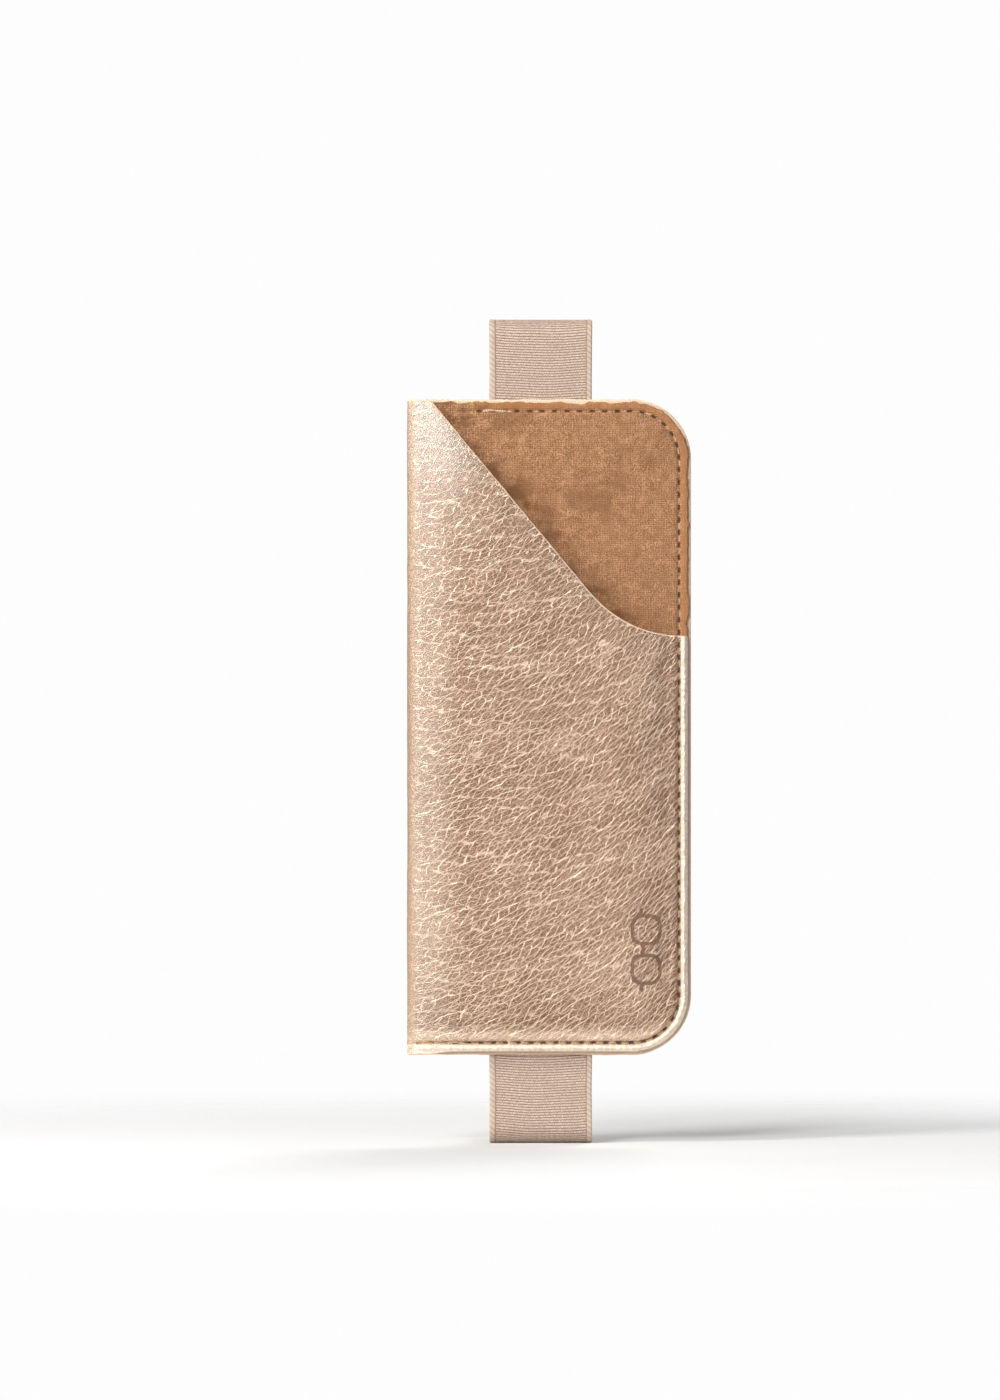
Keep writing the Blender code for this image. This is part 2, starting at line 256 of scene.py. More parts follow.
def put_mesh(
    name: str,
    points: Array,
    faces: list[tuple[Array, int]],
    fields: dict[str, Array],
) -> Piece:
    """Puts whole arrays into a new mesh object at the origin.

    Args:
        name: the piece's name.
        points: vertices in millimetres, one row each.
        faces: pairs of a face array (one row of vertex numbers a face) and its material.
        fields: vector attributes by name, one row a vertex.

    Returns:
        The object, smooth shaded and linked to the scene.
    """
    mesh = bpy.data.meshes.new(name)
    corners = np.concatenate([f.reshape(-1) for f, _ in faces]).astype(np.int32)
    sizes = np.concatenate([np.full(len(f), f.shape[1]) for f, _ in faces])
    finish = np.concatenate([np.full(len(f), m) for f, m in faces]).astype(np.int32)
    starts = np.concatenate([[0], np.cumsum(sizes)[:-1]]).astype(np.int32)
    mesh.vertices.add(len(points))
    mesh.vertices.foreach_set("co", (points * MM).astype(np.float32).ravel())
    mesh.loops.add(len(corners))
    mesh.loops.foreach_set("vertex_index", corners)
    mesh.polygons.add(len(sizes))
    mesh.polygons.foreach_set("loop_start", starts)
    mesh.polygons.foreach_set("material_index", finish)
    mesh.polygons.foreach_set("use_smooth", np.ones(len(sizes), bool))
    for key, rows in fields.items():
        layer = mesh.attributes.new(key, "FLOAT_VECTOR", "POINT")
        layer.data.foreach_set("vector", rows.astype(np.float32).ravel())
    mesh.update(calc_edges=True)
    return put_object(name, mesh)


def grid_faces(rows: int, cols: int, first: int = 0) -> Array:
    """Quads of a grid, turned so that the row direction crossed with the column one is out."""
    number = first + np.arange(rows * cols).reshape(rows, cols)
    return np.stack(
        [number[:-1, :-1], number[1:, :-1], number[1:, 1:], number[:-1, 1:]], axis=-1
    ).reshape(-1, 4)


def grid_normals(surface: Array) -> Array:
    """Unit normals of a grid: its row derivative crossed with its column derivative.

    The products are added up over each point's neighbours, twice, before they are made unit
    vectors, so that slivers where the grid's corners lie on an arc count for little.

    Args:
        surface: the grid's points.

    Returns:
        A normal for each of them.
    """
    total = np.cross(np.gradient(surface, axis=0), np.gradient(surface, axis=1))
    for _ in range(2):
        wide = np.pad(total, ((1, 1), (1, 1), (0, 0)), mode="edge")
        wide = wide[:-2] + wide[1:-1] + wide[2:]
        total = wide[:, :-2] + wide[:, 1:-1] + wide[:, 2:]
    return unit(total)


def border(grid: Array) -> Array:
    """A grid's values round its edge, as one closed loop that runs with the face's turn."""
    return np.concatenate(
        [grid[:, 0], grid[-1, 1:], grid[-2::-1, -1], grid[0, -2:0:-1]], axis=0
    )


def sheet_solid(name: str, skin: Array, thickness: float, fields: dict[str, Array]) -> Piece:
    """A closed sheet of even thickness whose cut edge is a half round.

    The under side is the skin moved back along its normals. Between the two edges lie rings
    on a half circle as wide as the sheet is thick, leaning out along the edge's tangent
    crossed with the normal. Skin, under side and cut edge are materials 0, 1 and 2.

    Args:
        name: the piece's name.
        skin: the outer surface's grid of points, in millimetres.
        thickness: the sheet's thickness.
        fields: vector fields on the same grid.

    Returns:
        The object.
    """
    normals = grid_normals(skin)
    under = skin - normals * thickness
    count = skin.shape[0] * skin.shape[1]
    outer, inner, up = border(skin), border(under), border(normals)
    tangent = unit(np.roll(outer, -1, axis=0) - np.roll(outer, 1, axis=0))
    lean = unit(np.cross(tangent, up))
    angle = np.linspace(math.pi / 2, -math.pi / 2, EDGE_RINGS + 2)[1:-1, None, None]
    half = thickness / 2.0
    rim = (outer + inner) / 2.0 + half * (np.sin(angle) * up + np.cos(angle) * lean)
    edge = border(np.arange(count).reshape(*skin.shape[:2], 1))[:, 0]
    rings = 2 * count + np.arange(rim[..., 0].size).reshape(EDGE_RINGS, -1)
    chain = np.vstack([edge, rings, count + edge])
    after = np.roll(chain, -1, axis=1)
    strips = vectors(chain[:-1], chain[1:], after[1:], after[:-1])
    points = np.concatenate([part.reshape(-1, 3) for part in (skin, under, rim)])
    spread = {
        key: np.concatenate([grid.reshape(-1, 3)] * 2 + [border(grid)] * EDGE_RINGS)
        for key, grid in fields.items()
    }
    front = grid_faces(*skin.shape[:2])
    faces = [(front, 0), (front[:, ::-1] + count, 1), (strips.reshape(-1, 4), 2)]
    return put_mesh(name, points, faces, spread)


def tube_solids(name: str, rings: Array, fields: dict[str, Array]) -> Piece:
    """Many closed tubes in one mesh, each capped at both ends by one face.

    Args:
        name: the piece's name.
        rings: points as (tube, step along, step round, 3), in millimetres.
        fields: vector fields of the same shape.

    Returns:
        The object.
    """
    tubes, along, around = rings.shape[:3]
    number = np.arange(tubes * along * around).reshape(tubes, along, around)
    nxt = np.roll(number, -1, axis=2)
    walls = vectors(number[:, :-1], number[:, 1:], nxt[:, 1:], nxt[:, :-1])
    caps = np.concatenate([number[:, 0], number[:, -1, ::-1]])
    faces = [(walls.reshape(-1, 4), 0), (caps, 0)]
    flat = {key: value.reshape(-1, 3) for key, value in fields.items()}
    return put_mesh(name, rings.reshape(-1, 3), faces, flat)


# ---------------------------------------------------------------- shader maths


def operator(operation: str, reflected: bool = False) -> Callable[..., "Signal"]:
    """A method of Signal that is one Math node, with its operands swapped if reflected."""

    def method(self: "Signal", *others: "Signal | float") -> "Signal":
        """Adds the node."""
        values = (self, *others)
        return self.math(operation, *(values[::-1] if reflected else values))

    return method


class Signal:
    """A number socket; Python's operators and the methods below add Math nodes to it."""

    def __init__(self, bench: "Bench", socket: Socket) -> None:
        """Keeps the socket and the bench that its nodes stand on."""
        self.bench, self.socket = bench, socket

    def math(self, operation: str, *values: "Signal | float") -> "Signal":
        """A Math node of this operation on these values."""
        settings = {"operation": operation}
        return self.bench.signal("ShaderNodeMath", settings, dict(enumerate(values)), "Value")

    __add__ = __radd__ = operator("ADD")
    __mul__ = __rmul__ = operator("MULTIPLY")
    __sub__, __rsub__ = operator("SUBTRACT"), operator("SUBTRACT", reflected=True)
    __truediv__, __pow__, __abs__ = map(operator, ("DIVIDE", "POWER", "ABSOLUTE"))
    sine, fraction, most = map(operator, ("SINE", "FRACT", "MAXIMUM"))

    def ease(self, low: float, high: float) -> "Signal":
        """A smooth step.

        Args:
            low: where it is 0.
            high: where it is 1; it may be the smaller.

        Returns:
            The step's height.
        """
        if low > high:
            return 1.0 - self.ease(high, low)
        sockets = {"Value": self, "From Min": low, "From Max": high}
        settings = {"interpolation_type": "SMOOTHSTEP"}
        return self.bench.signal("ShaderNodeMapRange", settings, sockets, "Result")


class Bench:
    """A material's or a world's node tree, and the one method that adds nodes to it."""

    def __init__(self, name: str, world: bool = False) -> None:
        """Starts an empty material, or an empty world, with its output.

        Args:
            name: the material's or the world's name.
            world: makes a world.
        """
        shelf = bpy.data.worlds if world else bpy.data.materials
        self.owner = shelf.new(name)
        self.owner.use_nodes = True
        self.tree = self.owner.node_tree
        self.tree.nodes.clear()
        self.output = self.node("ShaderNodeOutput" + ("World" if world else "Material"))

    def node(
        self,
        kind: str,
        settings: dict[str, object] | None = None,
        sockets: dict[object, object] | None = None,
    ) -> bpy.types.Node:
        """Adds a node.

        Args:
            kind: the node's type.
            settings: its properties, set first.
            sockets: values, sockets or signals, by input name or number.

        Returns:
            The node.
        """
        made = self.tree.nodes.new(kind)
        for key, value in (settings or {}).items():
            setattr(made, key, value)
        for key, value in (sockets or {}).items():
            source = value.socket if isinstance(value, Signal) else value
            if isinstance(source, Socket):
                self.tree.links.new(source, made.inputs[key])
            else:
                made.inputs[key].default_value = source
        return made

    def signal(
        self,
        kind: str,
        settings: dict[str, object],
        sockets: dict[object, object],
        output: str,
    ) -> Signal:
        """Adds a node and wraps one of its outputs."""
        return Signal(self, self.node(kind, settings, sockets).outputs[output])

    def field(self, name: str) -> Socket:
        """The vector of one of the piece's own attributes."""
        return self.node("ShaderNodeAttribute", {"attribute_name": name}).outputs["Vector"]

    def place(self) -> Socket:
        """Object coordinates in millimetres."""
        return self.stretched(self.node("ShaderNodeTexCoord").outputs["Object"], (1.0 / MM,) * 3)

    def split(self, vector: Socket) -> list[Signal]:
        """A vector's three numbers."""
        parts = self.node("ShaderNodeSeparateXYZ", {}, {"Vector": vector}).outputs
        return [Signal(self, part) for part in parts]

    def joined(self, x: object, y: object) -> Socket:
        """Two numbers as a vector."""
        return self.node("ShaderNodeCombineXYZ", {}, {0: x, 1: y}).outputs[0]

    def vector(self, operation: str, *values: object) -> Socket:
        """A Vector Math node of this operation on these values."""
        settings = {"operation": operation}
        return self.node("ShaderNodeVectorMath", settings, dict(enumerate(values))).outputs[0]

    def stretched(self, vector: Socket, factors: Colour) -> Socket:
        """A vector times another, number by number."""
        return self.vector("MULTIPLY", vector, factors)

    def noise(
        self, vector: Socket, rate: float = 1.0, detail: float = 2.0, roughness: float = 0.5
    ) -> Signal:
        """A noise texture's value, mostly from 0.3 to 0.7."""
        sockets = {"Vector": vector, "Scale": rate, "Detail": detail, "Roughness": roughness}
        return self.signal("ShaderNodeTexNoise", {}, sockets, "Fac")

    def warped(self, vector: Socket, rate: float, reach: float) -> Socket:
        """A vector moved by a noise texture's colour.

        Args:
            vector: what is moved.
            rate: the noise's scale.
            reach: twice the longest move each way.

        Returns:
            The moved vector.
        """
        sockets = {"Vector": vector, "Scale": rate, "Detail": 2.0}
        cloud = self.node("ShaderNodeTexNoise", {}, sockets).outputs["Color"]
        span, back = (reach, reach, 0.0), (-reach / 2.0, -reach / 2.0, 0.0)
        return self.vector("ADD", vector, self.vector("MULTIPLY_ADD", cloud, span, back))

    def cells(self, vector: Socket, rate: float = 1.0) -> Signal:
        """How far a point is from the border of its cell, in a pattern of random cells."""
        settings = {"feature": "DISTANCE_TO_EDGE", "voronoi_dimensions": "2D"}
        sockets = {"Vector": vector, "Scale": rate, "Randomness": 1.0}
        return self.signal("ShaderNodeTexVoronoi", settings, sockets, "Distance")

    def mix(self, share: object, first: object, second: object) -> Socket:
        """A colour between two.

        Args:
            share: how much of the second there is, from 0 to 1.
            first: a colour or a colour socket.
            second: another.

        Returns:
            The mixed colour.
        """
        settings = {"data_type": "RGBA", "clamp_factor": True}
        tints = [(*tint, 1.0) if isinstance(tint, tuple) else tint for tint in (first, second)]
        sockets = {0: share, 6: tints[0], 7: tints[1]}
        return self.node("ShaderNodeMix", settings, sockets).outputs[2]

    def layered(self, tone: Socket, *coats: tuple[object, Colour]) -> Socket:
        """A tone under coats of colour, each a share and its colour, the lowest first."""
        for share, colour in coats:
            tone = self.mix(share, tone, colour)
        return tone

    def relief(self, height: Signal, depth: float) -> Socket:
        """A normal for a height from 0 to 1 that stands for depth, in millimetres."""
        sockets = {"Height": height, "Distance": depth * MM, "Strength": 1.0}
        return self.node("ShaderNodeBump", {}, sockets).outputs["Normal"]

    def end(self, shader: bpy.types.Node) -> bpy.types.ID:
        """Ends the tree in this shader, and hands back what the tree belongs to."""
        self.tree.links.new(shader.outputs[0], self.output.inputs["Surface"])
        return self.owner

    def surface(self, **sockets: object) -> Material:
        """Ends the material in a Principled shader with these inputs."""
        named = {key.replace("_", " "): value for key, value in sockets.items()}
        return self.end(self.node("ShaderNodeBsdfPrincipled", {}, named))


# ---------------------------------------------------------------- the case's outline


@dataclass(frozen=True)
class Outline:
    """The pouch's outline, its diagonal lip and the seam line inside them."""

    half_width: float = 35.2
    half_length: float = 81.25
    corner: float = 14.8
    fold_x: float = -30.35
    fold_reach: float = 4.85
    seam_inset: float = 3.0
    seam_start: float = -32.4
    seam_stop: float = -18.9
    pitch: float = 3.1
    lip_start_x: float = -30.0
    lip_slope: float = 1.2067
    lip_bend_x: float = 9.9
    lip_radius: float = 30.0
    lip_centre_x: float = 33.0
    lip_centre_z: float = 52.25

    @property
    def turn_x(self) -> float:
        """Where the right corners start."""
        return self.half_width - self.corner

    @property
    def turn_z(self) -> float:
        """Where the right side's straight run ends."""
        return self.half_length - self.corner

    @property
    def seam_radius(self) -> float:
        """The seam line's radius at the corners."""
        return self.corner - self.seam_inset

    @property
    def seam_marks(self) -> Array:
        """Lengths along the seam at which its runs and corners end."""
        arc = self.seam_radius * math.pi / 2.0
        runs = [self.turn_x - self.seam_start, arc, 2.0 * self.turn_z, arc]
        return np.cumsum([*runs, self.turn_x - self.seam_stop])

    def lip(self, x: Array) -> Array:
        """The lip's height: a straight slope, then a circle's lower arc, then level.

        Args:
            x: places across the case.

        Returns:
            z of the lip at each of them.
        """
        slope = self.half_length - self.lip_slope * (x - self.lip_start_x)
        across = np.clip(x, self.lip_bend_x, self.lip_centre_x) - self.lip_centre_x
        arc = self.lip_centre_z - np.sqrt(self.lip_radius**2 - across**2)
        return np.where(x < self.lip_bend_x, np.minimum(slope, self.half_length), arc)

    def corner_line(self, inset: float, first: float, last: float) -> Array:
        """The upper corner's arc.

        Args:
            inset: how far inside the outline it runs.
            first: its first angle, in degrees clockwise from upwards.
            last: its last angle.

        Returns:
            x and z, one row a point.
        """
        angle = np.radians(np.linspace(first, last, 16))
        radius = self.corner - inset
        return vectors(self.turn_x + radius * np.sin(angle), self.turn_z + radius * np.cos(angle))

    def panel(self, inset: float, u: Array, v: Array) -> Array:
        """A grid from the fold line to the right, whose corners lie in the arcs' middles.

        Args:
            inset: how far the panel stops short of the outline.
            u: the columns' shares of the way across.
            v: the rows' shares of the way up.

        Returns:
            x and z, each as (column, row).
        """
        high = self.half_length - inset
        left = np.array([[self.fold_x, -high], [self.fold_x, high]])
        top = np.concatenate([left[1:], self.corner_line(inset, 0.0, 45.0)])
        side = self.corner_line(inset, 90.0, 45.0)
        right = np.concatenate([side[::-1] * MIRROR, side])
        return np.moveaxis(filled(top * MIRROR, top, left, right, u, v), -1, 0)

    def pocket(self, inset: float, hem: float, drop: float, u: Array, v: Array) -> Array:
        """A grid over the front panel, from the fold line to the right, under the lip.

        Args:
            inset: how far it stops short of the outline at the right and the bottom.
            hem: the same at the fold line.
            drop: how far its top lies under the lip.
            u: the columns' shares of the way across.
            v: the rows' shares of the way up.

        Returns:
            x and z, each as (column, row).
        """
        high = self.half_length - hem
        x = np.linspace(self.fold_x, self.turn_x, 60)
        down = (inset - hem) * (1.0 - ease(x, self.fold_x, self.fold_x + 7.0))
        level = vectors(x, inset - self.half_length - down)
        low = self.corner_line(inset, 0.0, 45.0) * MIRROR
        edge_x = self.half_width - inset
        lip_x = np.linspace(self.fold_x, edge_x, 160)
        top = vectors(lip_x, np.minimum(self.lip(lip_x) - drop, high))
        side = self.corner_line(inset, 45.0, 90.0) * MIRROR
        right = np.concatenate([side, top[-1:]])
        left = np.array([[self.fold_x, -high], top[0]])
        bottom = np.concatenate([level, low[1:]])
        return np.moveaxis(filled(bottom, top, left, right, u, v), -1, 0)

    def beyond(self, x: Array, z: Array) -> tuple[Array, Array, Array]:
        """How far a point lies past both turns, and whether it is in a corner's square."""
        far_x, far_z = x - self.turn_x, np.abs(z) - self.turn_z
        return far_x, far_z, (far_x > 0.0) & (far_z > 0.0)

    def inside(self, x: Array, z: Array) -> Array:
        """How far a point lies inside the outline, measured from its top, right and bottom."""
        far_x, far_z, in_corner = self.beyond(x, z)
        round_it = self.corner - np.hypot(far_x, far_z)
        return np.where(in_corner, round_it, self.corner - np.maximum(far_x, far_z))

    def along(self, x: Array, z: Array) -> Array:
        """The length along the seam that lies nearest to a point.

        Args:
            x: places across the case.
            z: places up the case.

        Returns:
            The length: past a corner's turn by the angle, and elsewhere by x or z.
        """
        marks = self.seam_marks
        far_x, far_z, in_corner = self.beyond(x, z)
        arc = self.seam_radius * np.arctan2(np.maximum(far_x, 1e-9), np.maximum(far_z, 1e-9))
        level = far_z > far_x
        where = [in_corner & (z < 0), in_corner, level & (z < 0), level]
        bottom, top = x - self.seam_start, marks[3] + self.turn_x - x
        choices = [marks[0] + arc, marks[3] - arc, bottom, top]
        return np.select(where, choices, marks[1] + z + self.turn_z)

    def seam(self, s: Array) -> list[Array]:
        """The seam line at lengths along it.

        Args:
            s: lengths from the seam's start.

        Returns:
            x, z and the direction's x and z. The table's rows are the bottom run, the lower
            corner, the right side, the upper corner and the top run.
        """
        marks, radius = self.seam_marks, self.seam_radius
        edge_x, edge_z = self.half_width - self.seam_inset, self.half_length - self.seam_inset
        low, high = (s - marks[0]) / radius, (marks[3] - s) / radius
        low_x, low_z = self.turn_x + radius * np.sin(low), -self.turn_z - radius * np.cos(low)
        high_x, high_z = self.turn_x + radius * np.sin(high), self.turn_z + radius * np.cos(high)
        table = (
            (self.seam_start + s, -edge_z, 1.0, 0.0),
            (low_x, low_z, np.cos(low), np.sin(low)),
            (edge_x, s - marks[1] - self.turn_z, 0.0, 1.0),
            (high_x, high_z, -np.cos(high), np.sin(high)),
            (self.turn_x - (s - marks[3]), edge_z, -1.0, 0.0),
        )
        where = [s < mark for mark in marks[:4]]
        return [np.select(where, column[:4], column[4]) for column in zip(*table)]


OUTLINE = Outline()


@dataclass(frozen=True)
class Layers:
    """Where the pouch's layers lie from back to front, as depths along Y.

    A name in reach is the length over which a face changes, and one in sink is by how much.
    """

    seam_y: float = -5.0
    crown_y: float = -9.9
    border_y: float = -1.55
    band_border_y: float = -0.22
    border_width: float = 6.0
    board_y: float = -2.4
    lining_y: float = -3.9
    lining_behind: float = 1.8
    band_left: float = -14.8
    band_right: float = 10.6
    band_near: float = 0.6
    band_far: float = 5.0
    gate_reach: float = 4.0
    swell_reach: float = 19.0
    top_z: float = 28.0
    top_reach: float = 53.0
    top_sink: float = 3.7
    left_x: float = -23.0
    left_reach: float = 7.35
    left_sink: float = 0.9
    droop: float = 0.9
    droop_reach: float = 5.0
    steepness: float = 0.64
    roll: float = 0.32

    def back(self, x: Array, z: Array) -> Array:
        """The back leather's face.

        It is 0 where the pouch rests, and sinks by a smooth step to the pressed border,
        which stays higher where the band comes out.

        Args:
            x: places across the case.
            z: places up the case.

        Returns:
            The face's depth along Y.
        """
        gate = ease(x, self.band_left - self.band_far, self.band_left - self.band_near)
        right = ease(x, self.band_right + self.band_near, self.band_right + self.band_far)
        past = np.abs(z) - OUTLINE.turn_z
        gate = gate * (1.0 - right) * ease(past, -self.gate_reach, self.gate_reach)
        low = self.border_y + (self.band_border_y - self.border_y) * gate
        return low * (1.0 - ease(OUTLINE.inside(x, z), 0.6, self.border_width))

    def front(self, x: Array, z: Array) -> Array:
        """The front leather's face, without its fine wrinkles.

        From the seam it swells as 1 less the square of what is left of the way to the
        crown. It flattens by squares towards the top and the fold, droops a little at the
        lip, and rolls slowly by a few tenths of a millimetre.

        Args:
            x: places across the case.
            z: places up the case.

        Returns:
            The face's depth along Y.
        """
        deep = OUTLINE.inside(x, np.minimum(z, 0.0)) - OUTLINE.seam_inset
        calm = 1.0 - (1.0 - np.clip(deep / self.swell_reach, 0.0, 1.0)) ** 2
        swell = (self.crown_y - self.seam_y) * calm
        top = self.top_sink * (np.maximum(z - self.top_z, 0.0) / self.top_reach) ** 2 * calm
        left = self.left_sink * (np.maximum(self.left_x - x, 0.0) / self.left_reach) ** 2 * calm
        to_lip = (OUTLINE.lip(x) - z) * self.steepness
        droop = self.droop * np.exp(-np.maximum(to_lip, 0.0) / self.droop_reach) * calm
        roll = self.roll * ripple(x / 44.0, z / 52.0, 5) * calm
        return self.seam_y + swell + (top + left) + droop + roll


LAYERS = Layers()


# ---------------------------------------------------------------- finishes


def stitch_holes(
    s: Signal, d: Signal, ends: tuple[float, float], sides: tuple[float, float]
) -> Signal:
    """Marks at the seam's holes, a pitch apart.

    Args:
        s: the length along the seam.
        d: how far a point lies inside the outline.
        ends: how far from a hole, in pitches, its mark stops and is full.
        sides: the same across the seam, in millimetres.

    Returns:
        1 in the holes and 0 between them.
    """
    beat = abs((s / OUTLINE.pitch + 0.5).fraction() - 0.5)
    return beat.ease(*ends) * abs(d - OUTLINE.seam_inset).ease(*sides)


@dataclass(frozen=True)
class ChampagneLeather:
    """Foil-coated leather: pebbled, with a dense net of raised bright creases."""

    base: Colour = (0.445, 0.262, 0.168)
    # valley: painted shade in the pebble grain's hollows, and in random darker patches
    valley: Colour = (0.150, 0.070, 0.036)
    # pale: random paler patches, partly a painted soft highlight
    pale: Colour = (0.58, 0.385, 0.275)
    # pale crease colour: partly the creases' own tone, partly a painted highlight on their
    # crests; also the painted band above the bottom seam
    crest: Colour = (1.0, 0.80, 0.62)
    # painted highlight on the puffed rim outside the stitches
    painted_rim_highlight: Colour = (1.0, 0.86, 0.70)
    # painted highlight on the fold side and the top-left tip
    painted_highlight: Colour = (0.97, 0.87, 0.77)
    # hole: painted shade in the needle holes
    hole: Colour = (0.125, 0.064, 0.037)
    # fold: painted reflection along the fold's outer edge
    fold: Colour = (0.66, 0.44, 0.30)
    press: Colour = (0.20, 0.11, 0.065)
    metallic: float = 0.62
    relief: float = 0.14

    def spectacles(self, x: Signal, y: Signal, z: Signal) -> Signal:
        """A plain pair of spectacles pressed beside the seam, standing on end.

        Each rim is where the third root of the summed cubes of the two distances from the
        lens centre equals the lens's half width. A short bar between them is the bridge,
        and one at each end is an arm's hinge.

        Args:
            x: the place across the case.
            y: the depth, since only the front is pressed.
            z: the place up the case.

        Returns:
            1 in the pressed lines.
        """
        centre_x, centre_z, apart, half, line = 24.0, -55.0, 4.9, 3.45, (0.46, 0.34)
        off = abs(z - centre_z)
        lens = (abs(x - centre_x) ** 3.0 + abs(off - apart) ** 3.0) ** (1.0 / 3.0)
        rims = abs(lens - half).ease(*line)
        bridge = abs(x - centre_x + 0.8).ease(*line) * off.ease(1.5, 1.35)
        arms = abs(x - centre_x + 1.2).ease(*line) * abs(off - 9.2).ease(1.05, 0.9)
        return rims.most(bridge).most(arms) * y.ease(-3.0, -4.0)

    def lines(self, bench: Bench, hide: Socket, lean: float, gap: float, seed: float) -> Signal:
        """Long wavy creases that come and go along their length.

        A crease lies where the sine of pi times (q less lean times p) over the gap is near
        0, once a slow noise has swayed that phase and a quick one has made it jagged.

        Args:
            bench: where the nodes stand.
            hide: the crease field (p along, q across).
            lean: the creases' slope against p.
            gap: how far apart they are, in millimetres.
            seed: moves the noises, so that each set of creases has its own.

        Returns:
            1 on the creases.
        """
        p, q, _ = bench.split(hide)
        slow = bench.noise(bench.joined(p * 0.10 + seed, q * 0.30 + seed))
        quick = bench.noise(bench.joined(p * 0.75 + seed, q * 0.75))
        phase = (q - p * lean) / gap + (slow * 2.1 + quick * 0.36)
        seen = bench.noise(bench.joined(p * 0.10 + seed, q * 0.80))
        return abs((phase * math.pi).sine()).ease(0.33, 0.03) * seen.ease(0.32, 0.50)

    def material(self) -> Material:
        """Builds the leather's skin from its crease and seam fields, with painted highlights, a
        painted reflection and painted shade.
        """
        bench = Bench("champagne_leather")
        hide = bench.field("hide")
        s, d, _ = bench.split(bench.field("seam"))
        x, y, z = bench.split(bench.place())
        bent = bench.warped(hide, 0.7, 0.9)
        main = self.lines(bench, hide, 0.0, 1.30, 3.0)
        steep = self.lines(bench, hide, 0.55, 1.9, 17.0)
        cross = self.lines(bench, hide, -0.40, 2.9, 31.0)
        net = bench.cells(bench.stretched(bent, (0.70, 1.30, 0.0))).ease(0.12, 0.0)
        pebble = bench.cells(bench.warped(hide, 1.6, 0.35), 2.1)
        patch = bench.noise(bench.stretched(hide, (0.05, 0.09, 0.0)))
        crease = main.most(steep * 0.85).most(cross * 0.55)
        crease = crease.most(net * (0.30 + 0.30 * patch.ease(0.35, 0.65)))
        dust = bench.noise(hide, 4.0, 3.0, 0.7)
        grain = pebble.ease(0.0, 0.34)
        last = float(OUTLINE.seam_marks[-1])
        hole = stitch_holes(s, d, (0.21, 0.14), (0.27, 0.12))
        hole = hole * s.ease(-1.0, -0.5) * s.ease(last + 0.8, last + 0.4)
        pull = abs(d - OUTLINE.seam_inset).ease(0.9, 0.1)
        rim = d.ease(2.85, 2.45)
        # Painted highlight: a paler band just inside the bottom seam, where the panel slopes down
        # to it.
        glow = d.ease(8.0, 4.0) * z.ease(-71.0, -76.0) * d.ease(3.2, 3.6)
        tuck = ((s * 3.9 + bench.noise(hide, 0.8) * 9.0).sine() * 0.5 + 0.5) * rim
        mark = self.spectacles(x, y, z)
        # Painted highlight: the front is painted paler towards the fold, and more at the top-left
        # tip, where its surface turns to the lamps.
        high = z.ease(38.0, 72.0)
        painted_highlight = (x.ease(-19.0, -33.0) * 0.62).most(high * x.ease(-12.0, -27.0) * 0.85)
        painted_highlight = painted_highlight * (0.55 + 0.45 * dust.ease(0.3, 0.6)) * y.ease(-1.6, -3.6)
        tone = bench.layered(
            # The pebble grain's low spots are painted darker: painted shade in its hollows, over
            # the grain's own pattern.
            bench.mix(grain * 0.80 + dust * 0.50 - 0.27, self.valley, self.base),
            # Random large patches painted darker and paler: partly random tone, partly painted
            # soft shade and painted soft highlights.
            (patch.ease(0.50, 0.30) * 0.08, self.valley),
            (patch.ease(0.46, 0.72) * 0.22, self.pale),
            # The creases are painted pale: partly their own tone, partly a painted highlight on
            # their crests.
            (crease * 0.90, self.crest),
            (painted_highlight * (0.34 + 0.20 * high), self.painted_highlight),
            # painted highlight band above the bottom seam, in the crease colour
            (glow * 0.45, self.crest),
            # Painted highlight: the rim outside the stitches is painted near white, as if it
            # caught the light.
            (rim * (0.80 + 0.20 * tuck), self.painted_rim_highlight),
            # Painted reflection: the fold's outer edge is painted a tan strip, for the grazing
            # reflection where it turns away.
            (x.ease(-32.8, -34.0) * y.ease(-2.4, -4.4) * 0.66, self.fold),
            (mark * 0.85, self.press),
            # painted shade in the needle holes
            (hole, self.hole),
        )
        height = crease * 0.95 + grain * 0.42 + dust * 0.22 + tuck * 0.4
        height = height - mark * 1.3 - hole * 2.0 - pull * 0.3
        rough = 0.42 + 0.14 * dust - 0.08 * crease + 0.3 * hole + 0.12 * mark - 0.08 * rim
        return bench.surface(
            Base_Color=tone,
            Metallic=(1.0 - hole) * (1.0 - rim * 0.45) * self.metallic,
            Roughness=rough,
            Normal=bench.relief(height, self.relief),
            Coat_Weight=0.20,
            Coat_Roughness=0.34,
        )


@dataclass(frozen=True)
class FibreFelt:
    """A matt felt of short fibres: leather's under side, the board, or a pale cut edge."""

    name: str
    base: Colour
    dark: Colour
    cloud: Colour
    fibres: tuple[float, float, float] = (3.2, 4.0, 0.65)
    fibre_span: tuple[float, float] = (0.30, 0.72)
    cloud_rate: float = 0.35
    cloud_span: tuple[float, float] = (0.40, 0.70)
    cloud_share: float = 0.25
    roughness: float = 0.9
    relief: float = 0.12

    def material(self) -> Material:
        """Builds the fibres from one noise, and slow changes of tone from another."""
        bench = Bench(self.name)
        place = bench.place()
        fibre = bench.noise(place, *self.fibres)
        cloud = bench.noise(place, self.cloud_rate).ease(*self.cloud_span)
        tone = bench.mix(fibre.ease(*self.fibre_span), self.dark, self.base)
        tone = bench.mix(cloud * self.cloud_share, tone, self.cloud)
        normal = bench.relief(fibre, self.relief)
        return bench.surface(Base_Color=tone, Roughness=self.roughness, Normal=normal)


